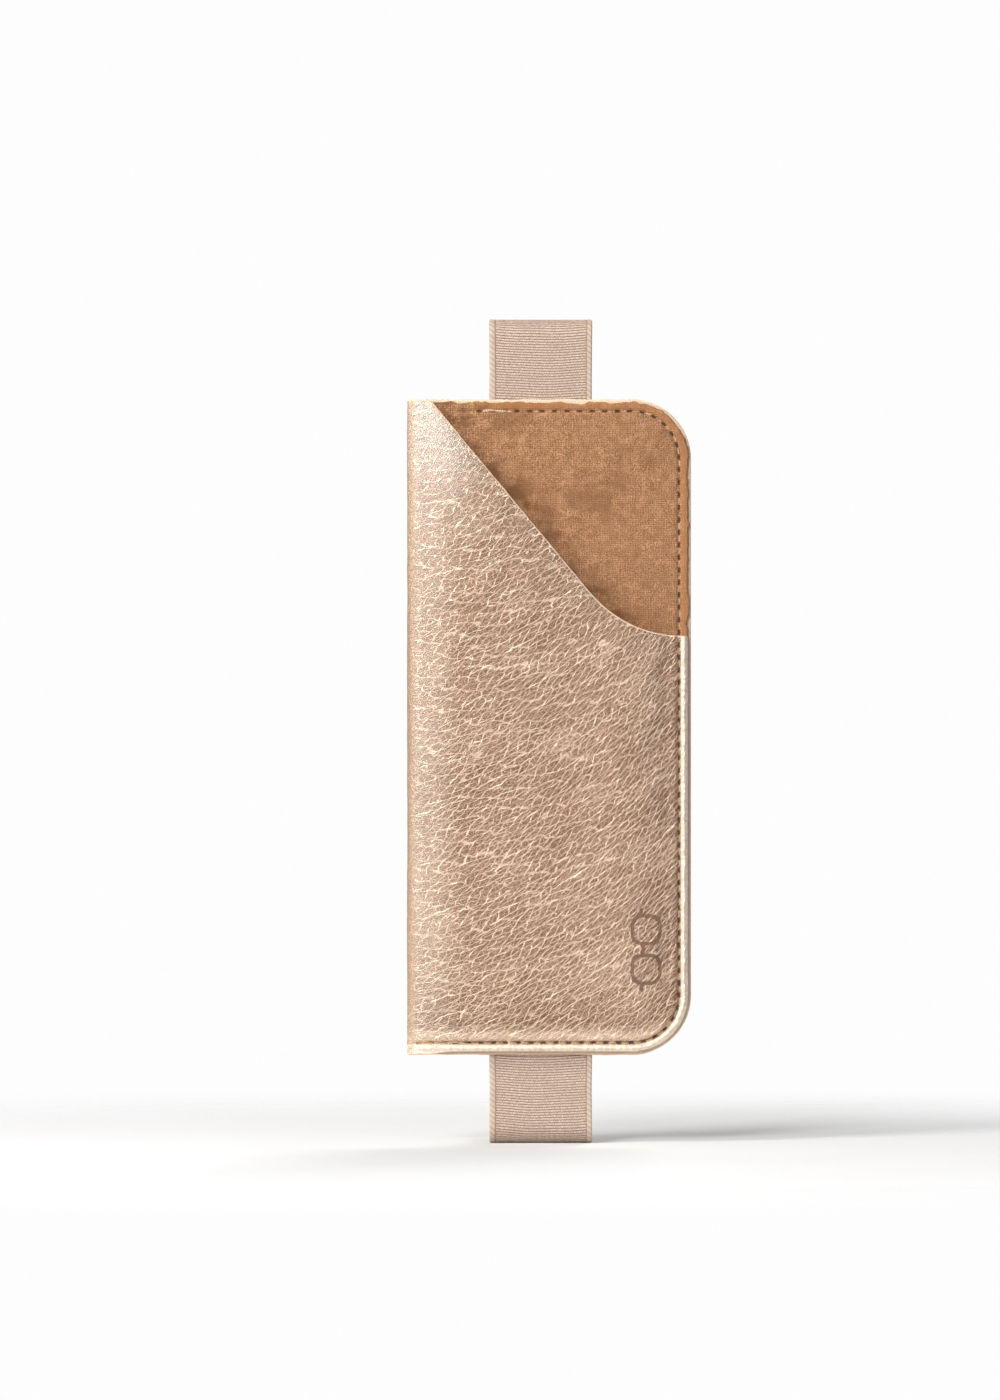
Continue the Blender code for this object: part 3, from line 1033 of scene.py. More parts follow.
@dataclass(frozen=True)
class VelourPile:
    """Golden brown velour with a fine rib, a painted shadow of the lip in patches, and painted
    shade in the stitch holes.
    """

    light: Colour = (0.66, 0.355, 0.19)
    base: Colour = (0.455, 0.225, 0.098)
    dark: Colour = (0.20, 0.085, 0.034)
    edge: Colour = (0.47, 0.20, 0.075)
    # pit: painted shade in the stitch holes
    pit: Colour = (0.045, 0.020, 0.010)
    bloom: Colour = (0.85, 0.58, 0.36)

    def material(self) -> Material:
        """Builds the rib from two crossed sines under noise, then the painted shadow of the lip,
        in patches.
        """
        bench = Bench("velour_pile")
        s, d, _ = bench.split(bench.field("seam"))
        place = bench.place()
        bent = bench.warped(place, 0.5, 0.5)
        x, y, z = bench.split(bent)
        rib = (x * 15.5).sine() * 0.5 + (z * 12.0).sine() * 0.32
        tuft = bench.noise(place, 3.8, 3.0, 0.7)
        cloud = bench.noise(place, 0.50, 4.0, 0.62)
        patch = bench.noise(place, 0.10)
        pile = (rib * 0.30 + tuft * 2.9 + cloud * 0.9 - 1.42).ease(0.05, 0.95)
        # Painted shadow: the velour just above the front's lip is painted darker in patches,
        # where the lip casts its shade.
        lip = OUTLINE.half_length - OUTLINE.lip_slope * (x - OUTLINE.lip_start_x)
        near = abs(z - lip - 3.0).ease(9.0, 0.0) * y.ease(-5.0, -4.5)
        painted_lip_shadow = near * bench.noise(place, 0.20, 3.0, 0.6).ease(0.42, 0.62)
        hole = stitch_holes(s, d, (0.28, 0.12), (0.46, 0.14))
        tone = bench.layered(
            bench.mix(pile, self.dark, self.light),
            (0.10, self.base),
            # painted shadow of the lip, in patches
            (painted_lip_shadow * 0.75, self.dark),
            (patch.ease(0.50, 0.68) * 0.42, self.dark),
            (d.ease(2.8, 2.2) * 0.55, self.edge),
            # painted shade in the stitch holes
            (hole * 0.85, self.pit),
        )
        sunk = abs(d - OUTLINE.seam_inset).ease(1.0, 0.0)
        height = pile * 0.8 + tuft * 0.5 - hole * 2.0 - sunk * 1.0 - painted_lip_shadow * 0.5
        return bench.surface(
            Base_Color=tone,
            Roughness=0.93,
            Normal=bench.relief(height, 0.16),
            Sheen_Weight=0.22,
            Sheen_Roughness=0.45,
            Sheen_Tint=(*self.bloom, 1.0),
            Specular_IOR_Level=0.2,
        )


@dataclass(frozen=True)
class KnitBack:
    """The plain knitted back of the lining."""

    base: Colour = (0.42, 0.24, 0.13)
    dark: Colour = (0.27, 0.14, 0.07)

    def material(self) -> Material:
        """Builds the knit from two crossed sines."""
        bench = Bench("lining_back")
        place = bench.place()
        x, _, z = bench.split(place)
        loops = (x * 9.0).sine() * (z * 11.0).sine() * 0.5 + 0.5
        fuzz = bench.noise(place, 2.5, 3.0)
        tone = bench.mix((loops * 0.6 + fuzz * 0.5).ease(0.2, 0.9), self.dark, self.base)
        normal = bench.relief(loops, 0.08)
        return bench.surface(Base_Color=tone, Roughness=0.92, Normal=normal)


@dataclass(frozen=True)
class FoamSkin:
    """Thin open-cell foam."""

    base: Colour = (0.74, 0.70, 0.60)
    pore: Colour = (0.42, 0.38, 0.30)

    def material(self) -> Material:
        """Builds the pores from random cells."""
        bench = Bench("foam_skin")
        place = bench.place()
        wall = bench.cells(place, 1.8).ease(0.0, 0.35)
        tone = bench.mix(wall, self.base, self.pore)
        normal = bench.relief(1.0 - wall, 0.15)
        return bench.surface(Base_Color=tone, Roughness=0.95, Normal=normal)


@dataclass(frozen=True)
class WovenElastic:
    """Narrow woven elastic: weft ribs, rows of warp dots, and corded selvedges."""

    base: Colour = (0.44, 0.325, 0.250)
    # light: painted highlight on the rib crests and along the cords' twist
    light: Colour = (0.78, 0.64, 0.53)
    # groove: painted shade in the grooves between the ribs, also used for the warp dots
    groove: Colour = (0.12, 0.072, 0.047)
    cord: Colour = (0.30, 0.21, 0.15)
    shadow: Colour = (0.23, 0.125, 0.068)
    field_half: float = 11.3
    warp_gap: float = 0.62

    def material(self) -> Material:
        """Builds the weave from the weave field: x across, y along, z the rib's phase."""
        bench = Bench("woven_elastic")
        weave = bench.field("weave")
        across, along, phase = bench.split(weave)
        side = abs(across)
        yarn = bench.noise(bench.stretched(weave, (1.6, 5.0, 0.0)), 1.0, 3.0, 0.6)
        cloud = bench.noise(bench.stretched(weave, (0.2, 0.25, 0.0)))
        crest = abs((phase * math.pi).sine()).ease(0.10, 0.85)
        even = (phase * 0.5).fraction().ease(0.499, 0.501)
        dots = abs((across / self.warp_gap + even * 0.5).fraction() - 0.5).ease(0.30, 0.05)
        dots = dots * (0.55 + 0.45 * (1.0 - crest))
        field = side.ease(self.field_half, self.field_half - 0.2)
        # The grooves are painted darker and the crests paler, as painted shade and painted
        # highlight over the ribs. The warp dots are a real pattern in the grooves' painted shade
        # colour.
        ribs = bench.layered(
            bench.mix(crest * 0.8 + yarn * 0.25, self.groove, self.base),
            (crest * yarn.ease(0.38, 0.66) * 0.75, self.light),
            (dots * 0.42, self.groove),
        )
        twist = ((along * 4.6 + across * 3.6).sine() * 0.5 + 0.5) * 0.6 + yarn * 0.4
        # The cord is painted paler along its twist: a painted highlight on the twist's crests.
        cord = bench.mix(0.10 + twist * 0.45, self.cord, self.light)
        line = abs(side - (self.field_half - 0.02)).ease(0.30, 0.06)
        tone = bench.layered(
            bench.mix(field, cord, ribs),
            (line * 0.66, self.shadow),
            (cloud.ease(0.42, 0.66) * 0.16, self.cord),
        )
        height = (crest * 0.5 - dots * 0.35) * field + twist * 0.3 * (1.0 - field)
        return bench.surface(
            Base_Color=tone,
            Roughness=0.74,
            Normal=bench.relief(height + yarn * 0.35 - line * 0.6, 0.10),
            Sheen_Weight=0.10,
            Sheen_Roughness=0.4,
        )


@dataclass(frozen=True)
class TwistedThread:
    """Light gold sewing thread of two twisted plies."""

    base: Colour = (0.79, 0.58, 0.37)
    dark: Colour = (0.40, 0.235, 0.125)

    def material(self) -> Material:
        """Builds the twist as a sine of the thread's length and its turn together."""
        bench = Bench("twisted_thread")
        along, turn, _ = bench.split(bench.field("twist"))
        ply = (along * 11.0 + turn * 2.0).sine() * 0.5 + 0.5
        fuzz = bench.noise(bench.place(), 7.0, 3.0)
        tone = bench.mix((ply * 0.8 + fuzz * 0.4).ease(0.10, 0.85), self.dark, self.base)
        normal = bench.relief(ply, 0.09)
        return bench.surface(Base_Color=tone, Roughness=0.5, Normal=normal)


@dataclass(frozen=True)
class Finishes:
    """One of each finish, built once."""

    leather: Material
    flesh: Material
    edge: Material
    velour: Material
    knit: Material
    board: Material
    foam: Material
    elastic: Material
    thread: Material

    @classmethod
    def built(cls) -> "Finishes":
        """Builds every finish."""
        under, board = (0.36, 0.25, 0.17), (0.60, 0.44, 0.31)
        edge = FibreFelt(
            name="cut_edge",
            base=(0.80, 0.60, 0.44),
            dark=(0.62, 0.41, 0.26),
            cloud=(0.86, 0.69, 0.53),
            fibres=(2.6, 4.0, 0.7),
            fibre_span=(0.35, 0.62),
            cloud_rate=0.22,
            cloud_span=(0.42, 0.68),
            cloud_share=0.4,
            roughness=0.72,
            relief=0.06,
        )
        return cls(
            leather=ChampagneLeather().material(),
            flesh=FibreFelt("leather_under", (0.55, 0.42, 0.31), under, under).material(),
            edge=edge.material(),
            velour=VelourPile().material(),
            knit=KnitBack().material(),
            board=FibreFelt("cream_board", (0.78, 0.62, 0.47), board, board).material(),
            foam=FoamSkin().material(),
            elastic=WovenElastic().material(),
            thread=TwistedThread().material(),
        )


def dress(obj: Piece, materials: list[Material], slot: Slot, *nodes: str) -> Piece:
    """Gives a piece its materials, and hides the CAD nodes that it stands for.

    Args:
        obj: the piece.
        materials: its materials, by the faces' numbers.
        slot: not used.
        nodes: the CAD nodes that it stands for.

    Returns:
        The piece.
    """
    for material in materials:
        obj.data.materials.append(material)
    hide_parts(*nodes)
    return obj


def bend(obj: Piece) -> None:
    """Bakes a piece's transform into its mesh."""
    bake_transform(obj)


# ---------------------------------------------------------------- sub-assemblies


@dataclass
class LeatherCover:
    """The outer leather: one cut sheet, folded round the left side, with a diagonal lip."""

    finishes: Finishes
    thickness: float = 0.8
    edge_inset: float = 0.95
    hem: float = 0.4
    rows: int = 236
    fold_steps: int = 20
    fold_radius: float = 4.9
    back_columns: int = 46
    front_columns: int = 112
    crease_slope: float = 0.60
    crease_turn: float = 0.0105
    crease_stop: float = -38.0
    fold_roll: float = 0.04
    broad_wrinkle: float = 0.09
    narrow_wrinkle: float = 0.055
    back_groove: float = 0.22

    def wrinkles(self, p: Array, q: Array) -> Array:
        """Wrinkles that run along p: two ripples, long in p and short in q.

        Args:
            p: places along the creases.
            q: places across them.

        Returns:
            The wrinkles' height.
        """
        broad = ripple(p / 24.0, q / 7.0, 11)
        narrow = ripple(p / 13.0, q / 3.4, 12, 22)
        narrow = self.narrow_wrinkle * narrow * (0.6 + 0.4 * broad)
        return self.broad_wrinkle * broad + narrow

    def creases(self, flat_x: Array, z: Array) -> tuple[Array, Array]:
        """Coordinates along and across the creases.

        Their slope grows evenly with the unfolded x from the stop on, so q follows z less
        the integral of that slope, and p is x plus nearly half of z.

        Args:
            flat_x: the unfolded leather's x.
            z: places up the case.

        Returns:
            p along the creases and q across them.
        """
        bent = np.maximum(flat_x, self.crease_stop)
        steep = self.crease_slope * bent + self.crease_turn / 2.0 * bent**2
        last = self.crease_slope + self.crease_turn * self.crease_stop
        steep = steep + (flat_x - bent) * last
        return flat_x + 0.45 * z, (z - steep) * 0.90

    def rim(self, d: Array, s: Array) -> Array:
        """The sewn edge's relief: a puffy rim, a stitch groove and the pucker inside it.

        Each is a bell curve of the distance inside the outline, and a cosine of the length
        along the seam makes it beat with the stitches.

        Args:
            d: how far a point lies inside the outline.
            s: the length along the seam.

        Returns:
            The relief, deeper where it is larger.
        """
        beat = 0.5 + 0.5 * np.cos(2.0 * math.pi * s / OUTLINE.pitch)
        crumple = ripple(s / 2.6, d / 2.0, 21)
        puff = bump(d, 1.95, 0.62) * (0.74 + 0.12 * crumple - 0.12 * beat)
        groove = bump(d, OUTLINE.seam_inset, 0.48) * (0.28 + 0.30 * beat)
        pucker = bump(d, 4.4, 1.0) * (0.34 + 0.10 * crumple - 0.08 * beat)
        tuck = 0.30 * (1.0 - ease(d, 0.9, 1.6))
        return groove + tuck - puff - pucker

    def build(self) -> Piece:
        """Lays the grid: back from right to left, half an ellipse for the fold, front.

        The fold's x is the fold line less its reach times the sine of the turn, and its y
        goes from the back's face to the front's by the cosine. The creases are laid on the
        unfolded leather, where the fold is half a circle long.

        Returns:
            The cover, with its hide field (p, q) and its seam field (s, d).
        """
        line = OUTLINE
        rows = crowded(self.rows, 0.6)
        columns = leaning(self.back_columns, 0.6)
        back_x, back_z = line.panel(self.hem, columns, rows)[:, ::-1]
        columns = leaning(self.front_columns, 0.65)
        front_x, front_z = line.pocket(self.edge_inset, self.hem, 0.0, columns, rows)
        back_y, front_y = LAYERS.back(back_x, back_z), LAYERS.front(front_x, front_z)
        turn = half_turn(self.fold_steps)
        fold_z = back_z[-1:] + 0.0 * turn
        fold_y = round_fold(back_y[-1:], front_y[:1], turn)
        soft = self.fold_roll * ripple(fold_z / 34.0, turn, 31)
        fold_x = line.fold_x - (line.fold_reach + soft) * np.sin(turn)
        x, y, z = side_by_side(
            (back_x, back_y, back_z), (fold_x, fold_y, fold_z), (front_x, front_y, front_z)
        )
        skin = vectors(x, y, z)
        normal = grid_normals(skin)
        d, s = line.inside(x, z), line.along(x, z)

        length = math.pi * self.fold_radius
        flat_back = line.fold_x - length - (back_x - line.fold_x)
        flat_fold = line.fold_x - length * (1.0 - turn / math.pi) + 0.0 * fold_z
        p, q = self.creases(np.concatenate([flat_back, flat_fold, front_x]), z)

        column = np.arange(len(x))[:, None]
        on_back, on_front = column < len(back_x), column >= len(back_x) + self.fold_steps
        before, above = on_front | (x < line.fold_x), z > line.turn_z
        relief = self.wrinkles(p, q)
        relief = relief * ease(np.where(on_front & above, FAR_INSIDE, d), 1.5, 8.0)
        relief = relief * np.where(on_front, 0.1 + 0.9 * ease(x, -31.0, -24.0), 0.2)
        edge = np.where(before & (z < line.lip(x) + 0.1), self.rim(d, s), 0.0)
        edge = edge * ease(-normal[..., 1], 0.2, 0.7)
        edge = edge * np.where(above, 0.0, 1.0) * ease(x, -34.0, -31.0)
        groove = np.where(on_back, self.back_groove * bump(d, line.seam_inset, 0.6), 0.0)
        groove = groove * ease(x, line.fold_x, line.fold_x + 4.0)
        skin = skin + normal * (relief - edge - groove)[..., None]
        deep = np.where(before & above, FAR_INSIDE, d)
        fields = {"hide": vectors(p, q, 0.0), "seam": vectors(s, deep, 0.0)}
        return sheet_solid("leather_cover", skin, self.thickness, fields)

    def make(self) -> list[Piece]:
        """Builds and dresses the cover, and bakes its transform."""
        cover = self.build()
        nodes = ("back_leather", "fold_leather", "front_margin", "front_leather")
        finish = self.finishes
        dress(cover, [finish.leather, finish.flesh, finish.edge], Slot.LEATHER, *nodes)
        bend(cover)
        return [cover]


@dataclass
class VelourLining:
    """The velour lining: back panel, fold and front panel in one."""

    finishes: Finishes
    thickness: float = 0.7
    inset: float = 1.15
    front_inset: float = 6.5
    lip_drop: float = 2.0
    reach: float = 2.5
    trim_slow: float = 0.14
    trim_quick: float = 0.11
    hidden_trim: float = 0.9
    trim_reach: float = 2.2
    fluff: float = 0.10
    crinkle: float = 0.28
    groove: float = 0.30
    rows: int = 230
    fold_steps: int = 12
    back_columns: int = 110
    front_columns: int = 42

    def ragged(self, x: Array, z: Array, d: Array) -> Array:
        """How far the hand-trimmed edge wanders, fading out inside it.

        Args:
            x: places across the case.
            z: places up the case.
            d: how far they lie inside the outline.

        Returns:
            The way outwards, less the hidden trim under the lip.
        """
        s, lip = OUTLINE.along(x, z), OUTLINE.lip(x)
        wander = self.trim_slow * ripple(s / 7.0, 0.0, 41)
        wander = wander + self.trim_quick * ripple(s / 2.1, 0.0, 42)
        wander = wander - self.hidden_trim * (1.0 - ease(z, lip - 2.0, lip + 0.5))
        return wander * (1.0 - ease(d, self.inset, self.inset + self.trim_reach))

    def back_depth(self, x: Array, z: Array, d: Array) -> Array:
        """The back panel's face: fluff, crinkles at the top, and the seam's groove.

        Args:
            x: places across the case.
            z: places up the case.
            d: how far they lie inside the outline.

        Returns:
            The face's depth along Y.
        """
        fluff = self.fluff * ripple(x / 11.0, z / 8.0, 43)
        crinkle = ease(-x, -20.0, 30.0) * ease(z, 55.0, 74.0)
        crinkle = self.crinkle * crinkle * ripple(x / 9.0, z / 3.6, 44)
        groove = self.groove * bump(d, OUTLINE.seam_inset, 0.6)
        groove = groove * ease(x, OUTLINE.seam_stop - 4.0, -19.0)
        return LAYERS.lining_y - np.abs(fluff) - np.abs(crinkle) + groove

    def build(self) -> Piece:
        """Lays the grid from the back's right edge to the fold and on to the front's.

        The back's points move out by the ragged edge's wander. The fold is half an ellipse,
        and its top sinks by a smooth step from the back's to the front's.

        Returns:
            The lining, with its seam field (s, d).
        """
        line = OUTLINE
        rows = crowded(self.rows, 0.45)
        columns = leaning(self.back_columns, 0.5)
        back_x, back_z = line.panel(self.inset, columns, rows)[:, ::-1]
        columns = leaning(self.front_columns, 0.3)
        front_x, front_z = line.pocket(self.front_inset, self.inset, self.lip_drop, columns, rows)
        d = line.inside(back_x, back_z)
        back_y = self.back_depth(back_x, back_z, d)
        front_y = LAYERS.front(front_x, front_z) + LAYERS.lining_behind
        front_y = np.minimum(front_y, LAYERS.lining_y - 0.15)
        far_z = np.sign(back_z) * np.maximum(np.abs(back_z) - line.turn_z, 0.0)
        out = unit(vectors(np.maximum(back_x - line.turn_x, 0.0), far_z))
        out = out * self.ragged(back_x, back_z, d)[..., None]

        turn = half_turn(self.fold_steps)
        low, high = back_z[-1, 0], back_z[-1, -1]
        top = high + (front_z[0, -1] - high) * ease(turn, 0.0, math.pi)
        fold_z = low + (top - low) * rows
        fold_y = round_fold(back_y[-1:], front_y[:1], turn)
        fold_x = line.fold_x - self.reach * np.sin(turn) + 0.0 * fold_z
        moved = (back_x + out[..., 0], back_y, back_z + out[..., 1])
        x, y, z = side_by_side(moved, (fold_x, fold_y, fold_z), (front_x, front_y, front_z))
        on_back = (np.arange(len(x)) < len(back_x))[:, None]
        sewn = on_back & ~((z > line.turn_z) & (x < line.seam_stop))
        deep = np.where(sewn, line.inside(x, z), FAR_INSIDE)
        fields = {"seam": vectors(line.along(x, z), deep, 0.0)[::-1]}
        return sheet_solid("velour_lining", vectors(x, y, z)[::-1], self.thickness, fields)

    def make(self) -> list[Piece]:
        """Builds and dresses the lining, and bakes its transform."""
        lining = self.build()
        nodes = ("back_lining", "fold_lining", "front_lining")
        finish = self.finishes
        dress(lining, [finish.velour, finish.knit, finish.velour], Slot.VELOUR, *nodes)
        bend(lining)
        return [lining]


@dataclass
class BackStiffening:
    """The cream board whose edge shows, and the thin foam between it and the leather."""

    finishes: Finishes
    board: float = 0.5
    board_inset: float = 0.3
    board_wander: float = 0.07
    foam: float = 1.0
    foam_y: float = -1.1
    foam_gap: float = 0.05
    notch: float = 10.5
    notch_x: float = -2.1
    notch_width: float = 13.4

    def board_panel(self) -> Piece:
        """The board: a flat panel inside the outline, whose cut edge wanders a little."""
        line, inset = OUTLINE, self.board_inset
        x, z = line.panel(inset, leaning(64, 0.5), crowded(150, 0.5))
        wander = self.board_wander * ripple(line.along(x, z) / 9.0, 0.0, 51)
        wander = wander * (1.0 - ease(line.inside(x, z) - inset, 0.0, 2.0))
        y = LAYERS.board_y - self.board + 0.04 * ripple(x / 15.0, z / 15.0, 52)
        skin = vectors(x, y, z + wander * np.sign(z))
        board, finish = sheet_solid("cream_board", skin, self.board, {}), self.finishes
        return dress(board, [finish.board, finish.board, finish.edge], Slot.BOARD, "back_board")

    def foam_panel(self) -> Piece:
        """The foam: it draws in by the root of a bell curve at the band's sewn ends."""
        low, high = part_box("back_foam")
        x = np.linspace(low[0] / MM, high[0] / MM, 60)[:, None]
        half = high[2] / MM - self.notch * bump(x, self.notch_x, self.notch_width) ** 0.5
        z = half * (2.0 * crowded(90, 0.3)[None, :] - 1.0)
        y = self.foam_y - self.foam + 0.02 + 0.05 * ripple(x / 12.0, z / 12.0, 53)
        pad = sheet_solid("back_foam_pad", vectors(x, y, z), self.foam - self.foam_gap, {})
        return dress(pad, [self.finishes.foam] * 3, Slot.FOAM, "back_foam")

    def make(self) -> list[Piece]:
        """Builds and dresses both layers on the pouch."""
        board, foam = self.board_panel(), self.foam_panel()
        for piece in (board, foam):
            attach(piece, Body.POUCH.value)
        return [board, foam]


@dataclass
class SeamStitches:
    """The two threads of the edge seam, stitch by stitch."""

    finishes: Finishes
    radius: float = 0.25
    bite: float = 0.52
    steps: int = 7
    sides: int = 8

    def starts(self) -> Array:
        """Where each stitch starts along the seam."""
        total = OUTLINE.seam_marks[-1]
        return np.arange(0.0, total - OUTLINE.pitch * 0.6, OUTLINE.pitch)

    def thread(
        self, name: str, face: Callable[[Array, Array], Array], outwards: float, tack: bool
    ) -> Piece:
        """Builds one thread.

        Each stitch is a tube whose middle line rises from one hole and sinks in the next:
        its height is the radius times 1 less the eighth power of the share from its
        middle, less a dip at both ends. Its radius narrows to the ends as the fourth root.

        Args:
            name: the piece's name.
            face: gives the depth of the sewn surface at x and z.
            outwards: the sign of the direction out of that surface, along Y.
            tack: adds the back-tack's extra stitches at both ends of the seam.

        Returns:
            The object.
        """
        line = OUTLINE
        start = self.starts()
        side = np.zeros_like(start)
        if tack:
            more = np.concatenate([start[:4] + 1.35, start[-3:] - 1.5, start[-2:] - 0.7])
            side = np.concatenate([side, 0.30 * np.sin(7.0 * more)])
            start = np.concatenate([start, more])
        share = np.linspace(0.0, 1.0, self.steps)
        s = start[:, None] + self.bite + (line.pitch - 2.0 * self.bite) * share
        x, z, dx, dz = line.seam(s)
        wander = side[:, None] + 0.07 * ripple(s / 5.0, 0.0, 61)
        x, z = x - dz * wander, z + dx * wander
        sink = (2.0 * share - 1.0) ** 8
        y = face(x, z) + outwards * (self.radius * (0.75 - 1.9 * sink))
        reach = (self.radius * (1.0 - 0.72 * sink))[None, :, None]
        turn = np.linspace(0.0, 2.0 * math.pi, self.sides, endpoint=False)
        ring_out, ring_side = np.cos(turn), np.sin(turn) * outwards
        points = vectors(
            x[..., None] - dz[..., None] * ring_side * reach,
            y[..., None] + outwards * ring_out * reach * 0.85,
            z[..., None] + dx[..., None] * ring_side * reach,
        )
        return tube_solids(name, points, {"twist": vectors(s[..., None], turn, 0.0)})

    def needle_face(self, x: Array, z: Array) -> Array:
        """The sewn surface in front: leather below the lip, velour above it.

        Args:
            x: places across the case.
            z: places up the case.

        Returns:
            The surface's depth along Y.
        """
        leather = LAYERS.seam_y + 0.42
        velour = LAYERS.lining_y + 0.20 + 0.38 * ease(x, -13.0, -8.0)
        covered = (z < OUTLINE.lip(x)) & (z < OUTLINE.turn_z)
        return np.where(covered, leather, velour)

    def bobbin_face(self, x: Array, z: Array) -> Array:
        """The sewn surface behind: the back leather's border, in its stitch groove."""
        return LAYERS.back(x, z) - 0.18

    def make(self) -> list[Piece]:
        """Builds and dresses both threads on the pouch."""
        finish = self.finishes.thread
        needle = self.thread("needle_stitches", self.needle_face, -1.0, True)
        bobbin = self.thread("bobbin_stitches", self.bobbin_face, 1.0, False)
        dress(needle, [finish], Slot.THREAD, "needle_thread")
        dress(bobbin, [finish], Slot.THREAD, "bobbin_thread")
        for piece in (needle, bobbin):
            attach(piece, Body.POUCH.value)
        return [needle, bobbin]


@dataclass(frozen=True)
class Webbing:
    """The cross-section and weave that the band and the pen loop share."""

    width: float = 25.4
    thickness: float = 1.0
    rib: float = 0.65
    selvedge: float = 1.42
    samples: int = 4
    plain: int = 9
    bow: float = 0.55
    rib_high: float = 0.10
    cord_high: float = 0.10
    cord_inset: float = 0.70
    cord_reach: float = 0.52
    sunk: float = 0.06

    def across(self) -> Array:
        """Places across one face, close together on the selvedges."""
        edge = self.width / 2.0 - np.array([0.12, 0.36, 0.70, 1.05, 1.28, 1.42, 1.60])
        inner = np.linspace(-edge[-1], edge[-1], self.plain)[1:-1]
        return np.concatenate([-edge, inner, edge[::-1]])

    def relief(self, w: Array, phase: Array) -> Array:
        """A face's height: rib crests between the selvedges, a round cord on each.

        Args:
            w: places across the webbing.
            phase: the ribs' phase, which grows by 1 from rib to rib.

        Returns:
            The height over the face.
        """
        side = np.abs(w)
        half = self.width / 2.0
        crest = np.abs(np.sin(math.pi * phase)) ** 0.7
        field = 1.0 - ease(side, half - self.selvedge - 0.15, half - self.selvedge + 0.1)
        cord = bump(side, half - self.cord_inset, self.cord_reach)
        ribs = self.rib_high * (crest - 0.6) * field
        return ribs + self.cord_high * cord * (1.0 - field)

    def solid(self, name: str, path: Array, side: Array) -> Piece:
        """Carries the cross-section along a path and caps its ends.

        The face normal is the path's tangent crossed with the side direction. A point is
        the path's plus w times side plus or minus half the thickness along the normal.

        Args:
            name: the piece's name.
            path: points of the middle line, in millimetres.
            side: the unit vector across the webbing.

        Returns:
            The object, with the weave field (across, along, phase of the ribs).
        """
        path = even_path(path, self.rib / self.samples)
        tangent = unit(np.gradient(path, axis=0))
        normal = unit(np.cross(tangent, side))
        s, w = lengths(path)[:, None], self.across()[None, :]
        bow = self.bow * (1.0 - (2.0 * w / self.width) ** 2)
        phase = (s + bow + 0.10 * ripple(s / 30.0, w / 18.0, 71)) / self.rib
        high = self.thickness / 2.0 - self.sunk + self.relief(w, phase)
        wave = 1.0 + 0.004 * ripple(s / 16.0, 0.0, 72)
        middle = path[:, None, :]
        place = middle + (w * wave)[..., None] * side
        lift = high[..., None] * normal[:, None, :]
        reach = (self.width / 2.0 * wave)[..., None] * side
        flipped = (place - lift)[:, ::-1]
        ring = np.concatenate([place + lift, middle + reach, flipped, middle - reach], axis=1)
        end, wide = np.full_like(s, self.width / 2.0), w + 0.0 * s
        full_w = np.concatenate([wide, end, wide[:, ::-1], -end], axis=1)
        full_p = np.concatenate([phase, phase[:, -1:], phase[:, ::-1], phase[:, :1]], axis=1)
        weave = vectors(full_w, s, full_p)
        return tube_solids(name, ring[None, :, ::-1], {"weave": weave[None, :, ::-1]})

@dataclass
class BookBand:
    """The elastic band that holds the case on a book cover."""

    finishes: Finishes
    webbing: Webbing
    centre_x: float = -2.1
    front_y: float = -1.6
    rear_y: float = 10.5
    top: float = 100.75
    bottom: float = -102.75
    corner: float = 4.0
    inner_end: float = 71.3

    def path(self) -> Array:
        """The band's middle line: up in front, over, down behind, under and up again."""
        near, far, bend_y = self.front_y + self.corner, self.rear_y - self.corner, self.corner
        high, low = self.top - bend_y, self.bottom + bend_y
        centres = ((near, high), (far, high), (far, low), (near, low))
        arcs = [
            arc_points(centre, bend_y, 180.0 - 90.0 * k, 90.0 - 90.0 * k, 24)
            for k, centre in enumerate(centres)
        ]
        ends = np.array([[[self.front_y, self.inner_end]], [[self.front_y, -self.inner_end]]])
        flat = np.concatenate([ends[0], *arcs, ends[1]])
        return vectors(self.centre_x, flat[:, 0], flat[:, 1])

    def make(self) -> list[Piece]:
        """Builds and dresses the band, and bakes its transform."""
        band = self.webbing.solid("book_band", self.path(), np.array([1.0, 0.0, 0.0]))
        fronts = ("band_top_front", "band_bottom_front")
        turns = ("band_top_turn", "band_bottom_turn")
        dress(band, [self.finishes.elastic], Slot.ELASTIC, *fronts, *turns, "band_rear")
        bend(band)
        return [band]


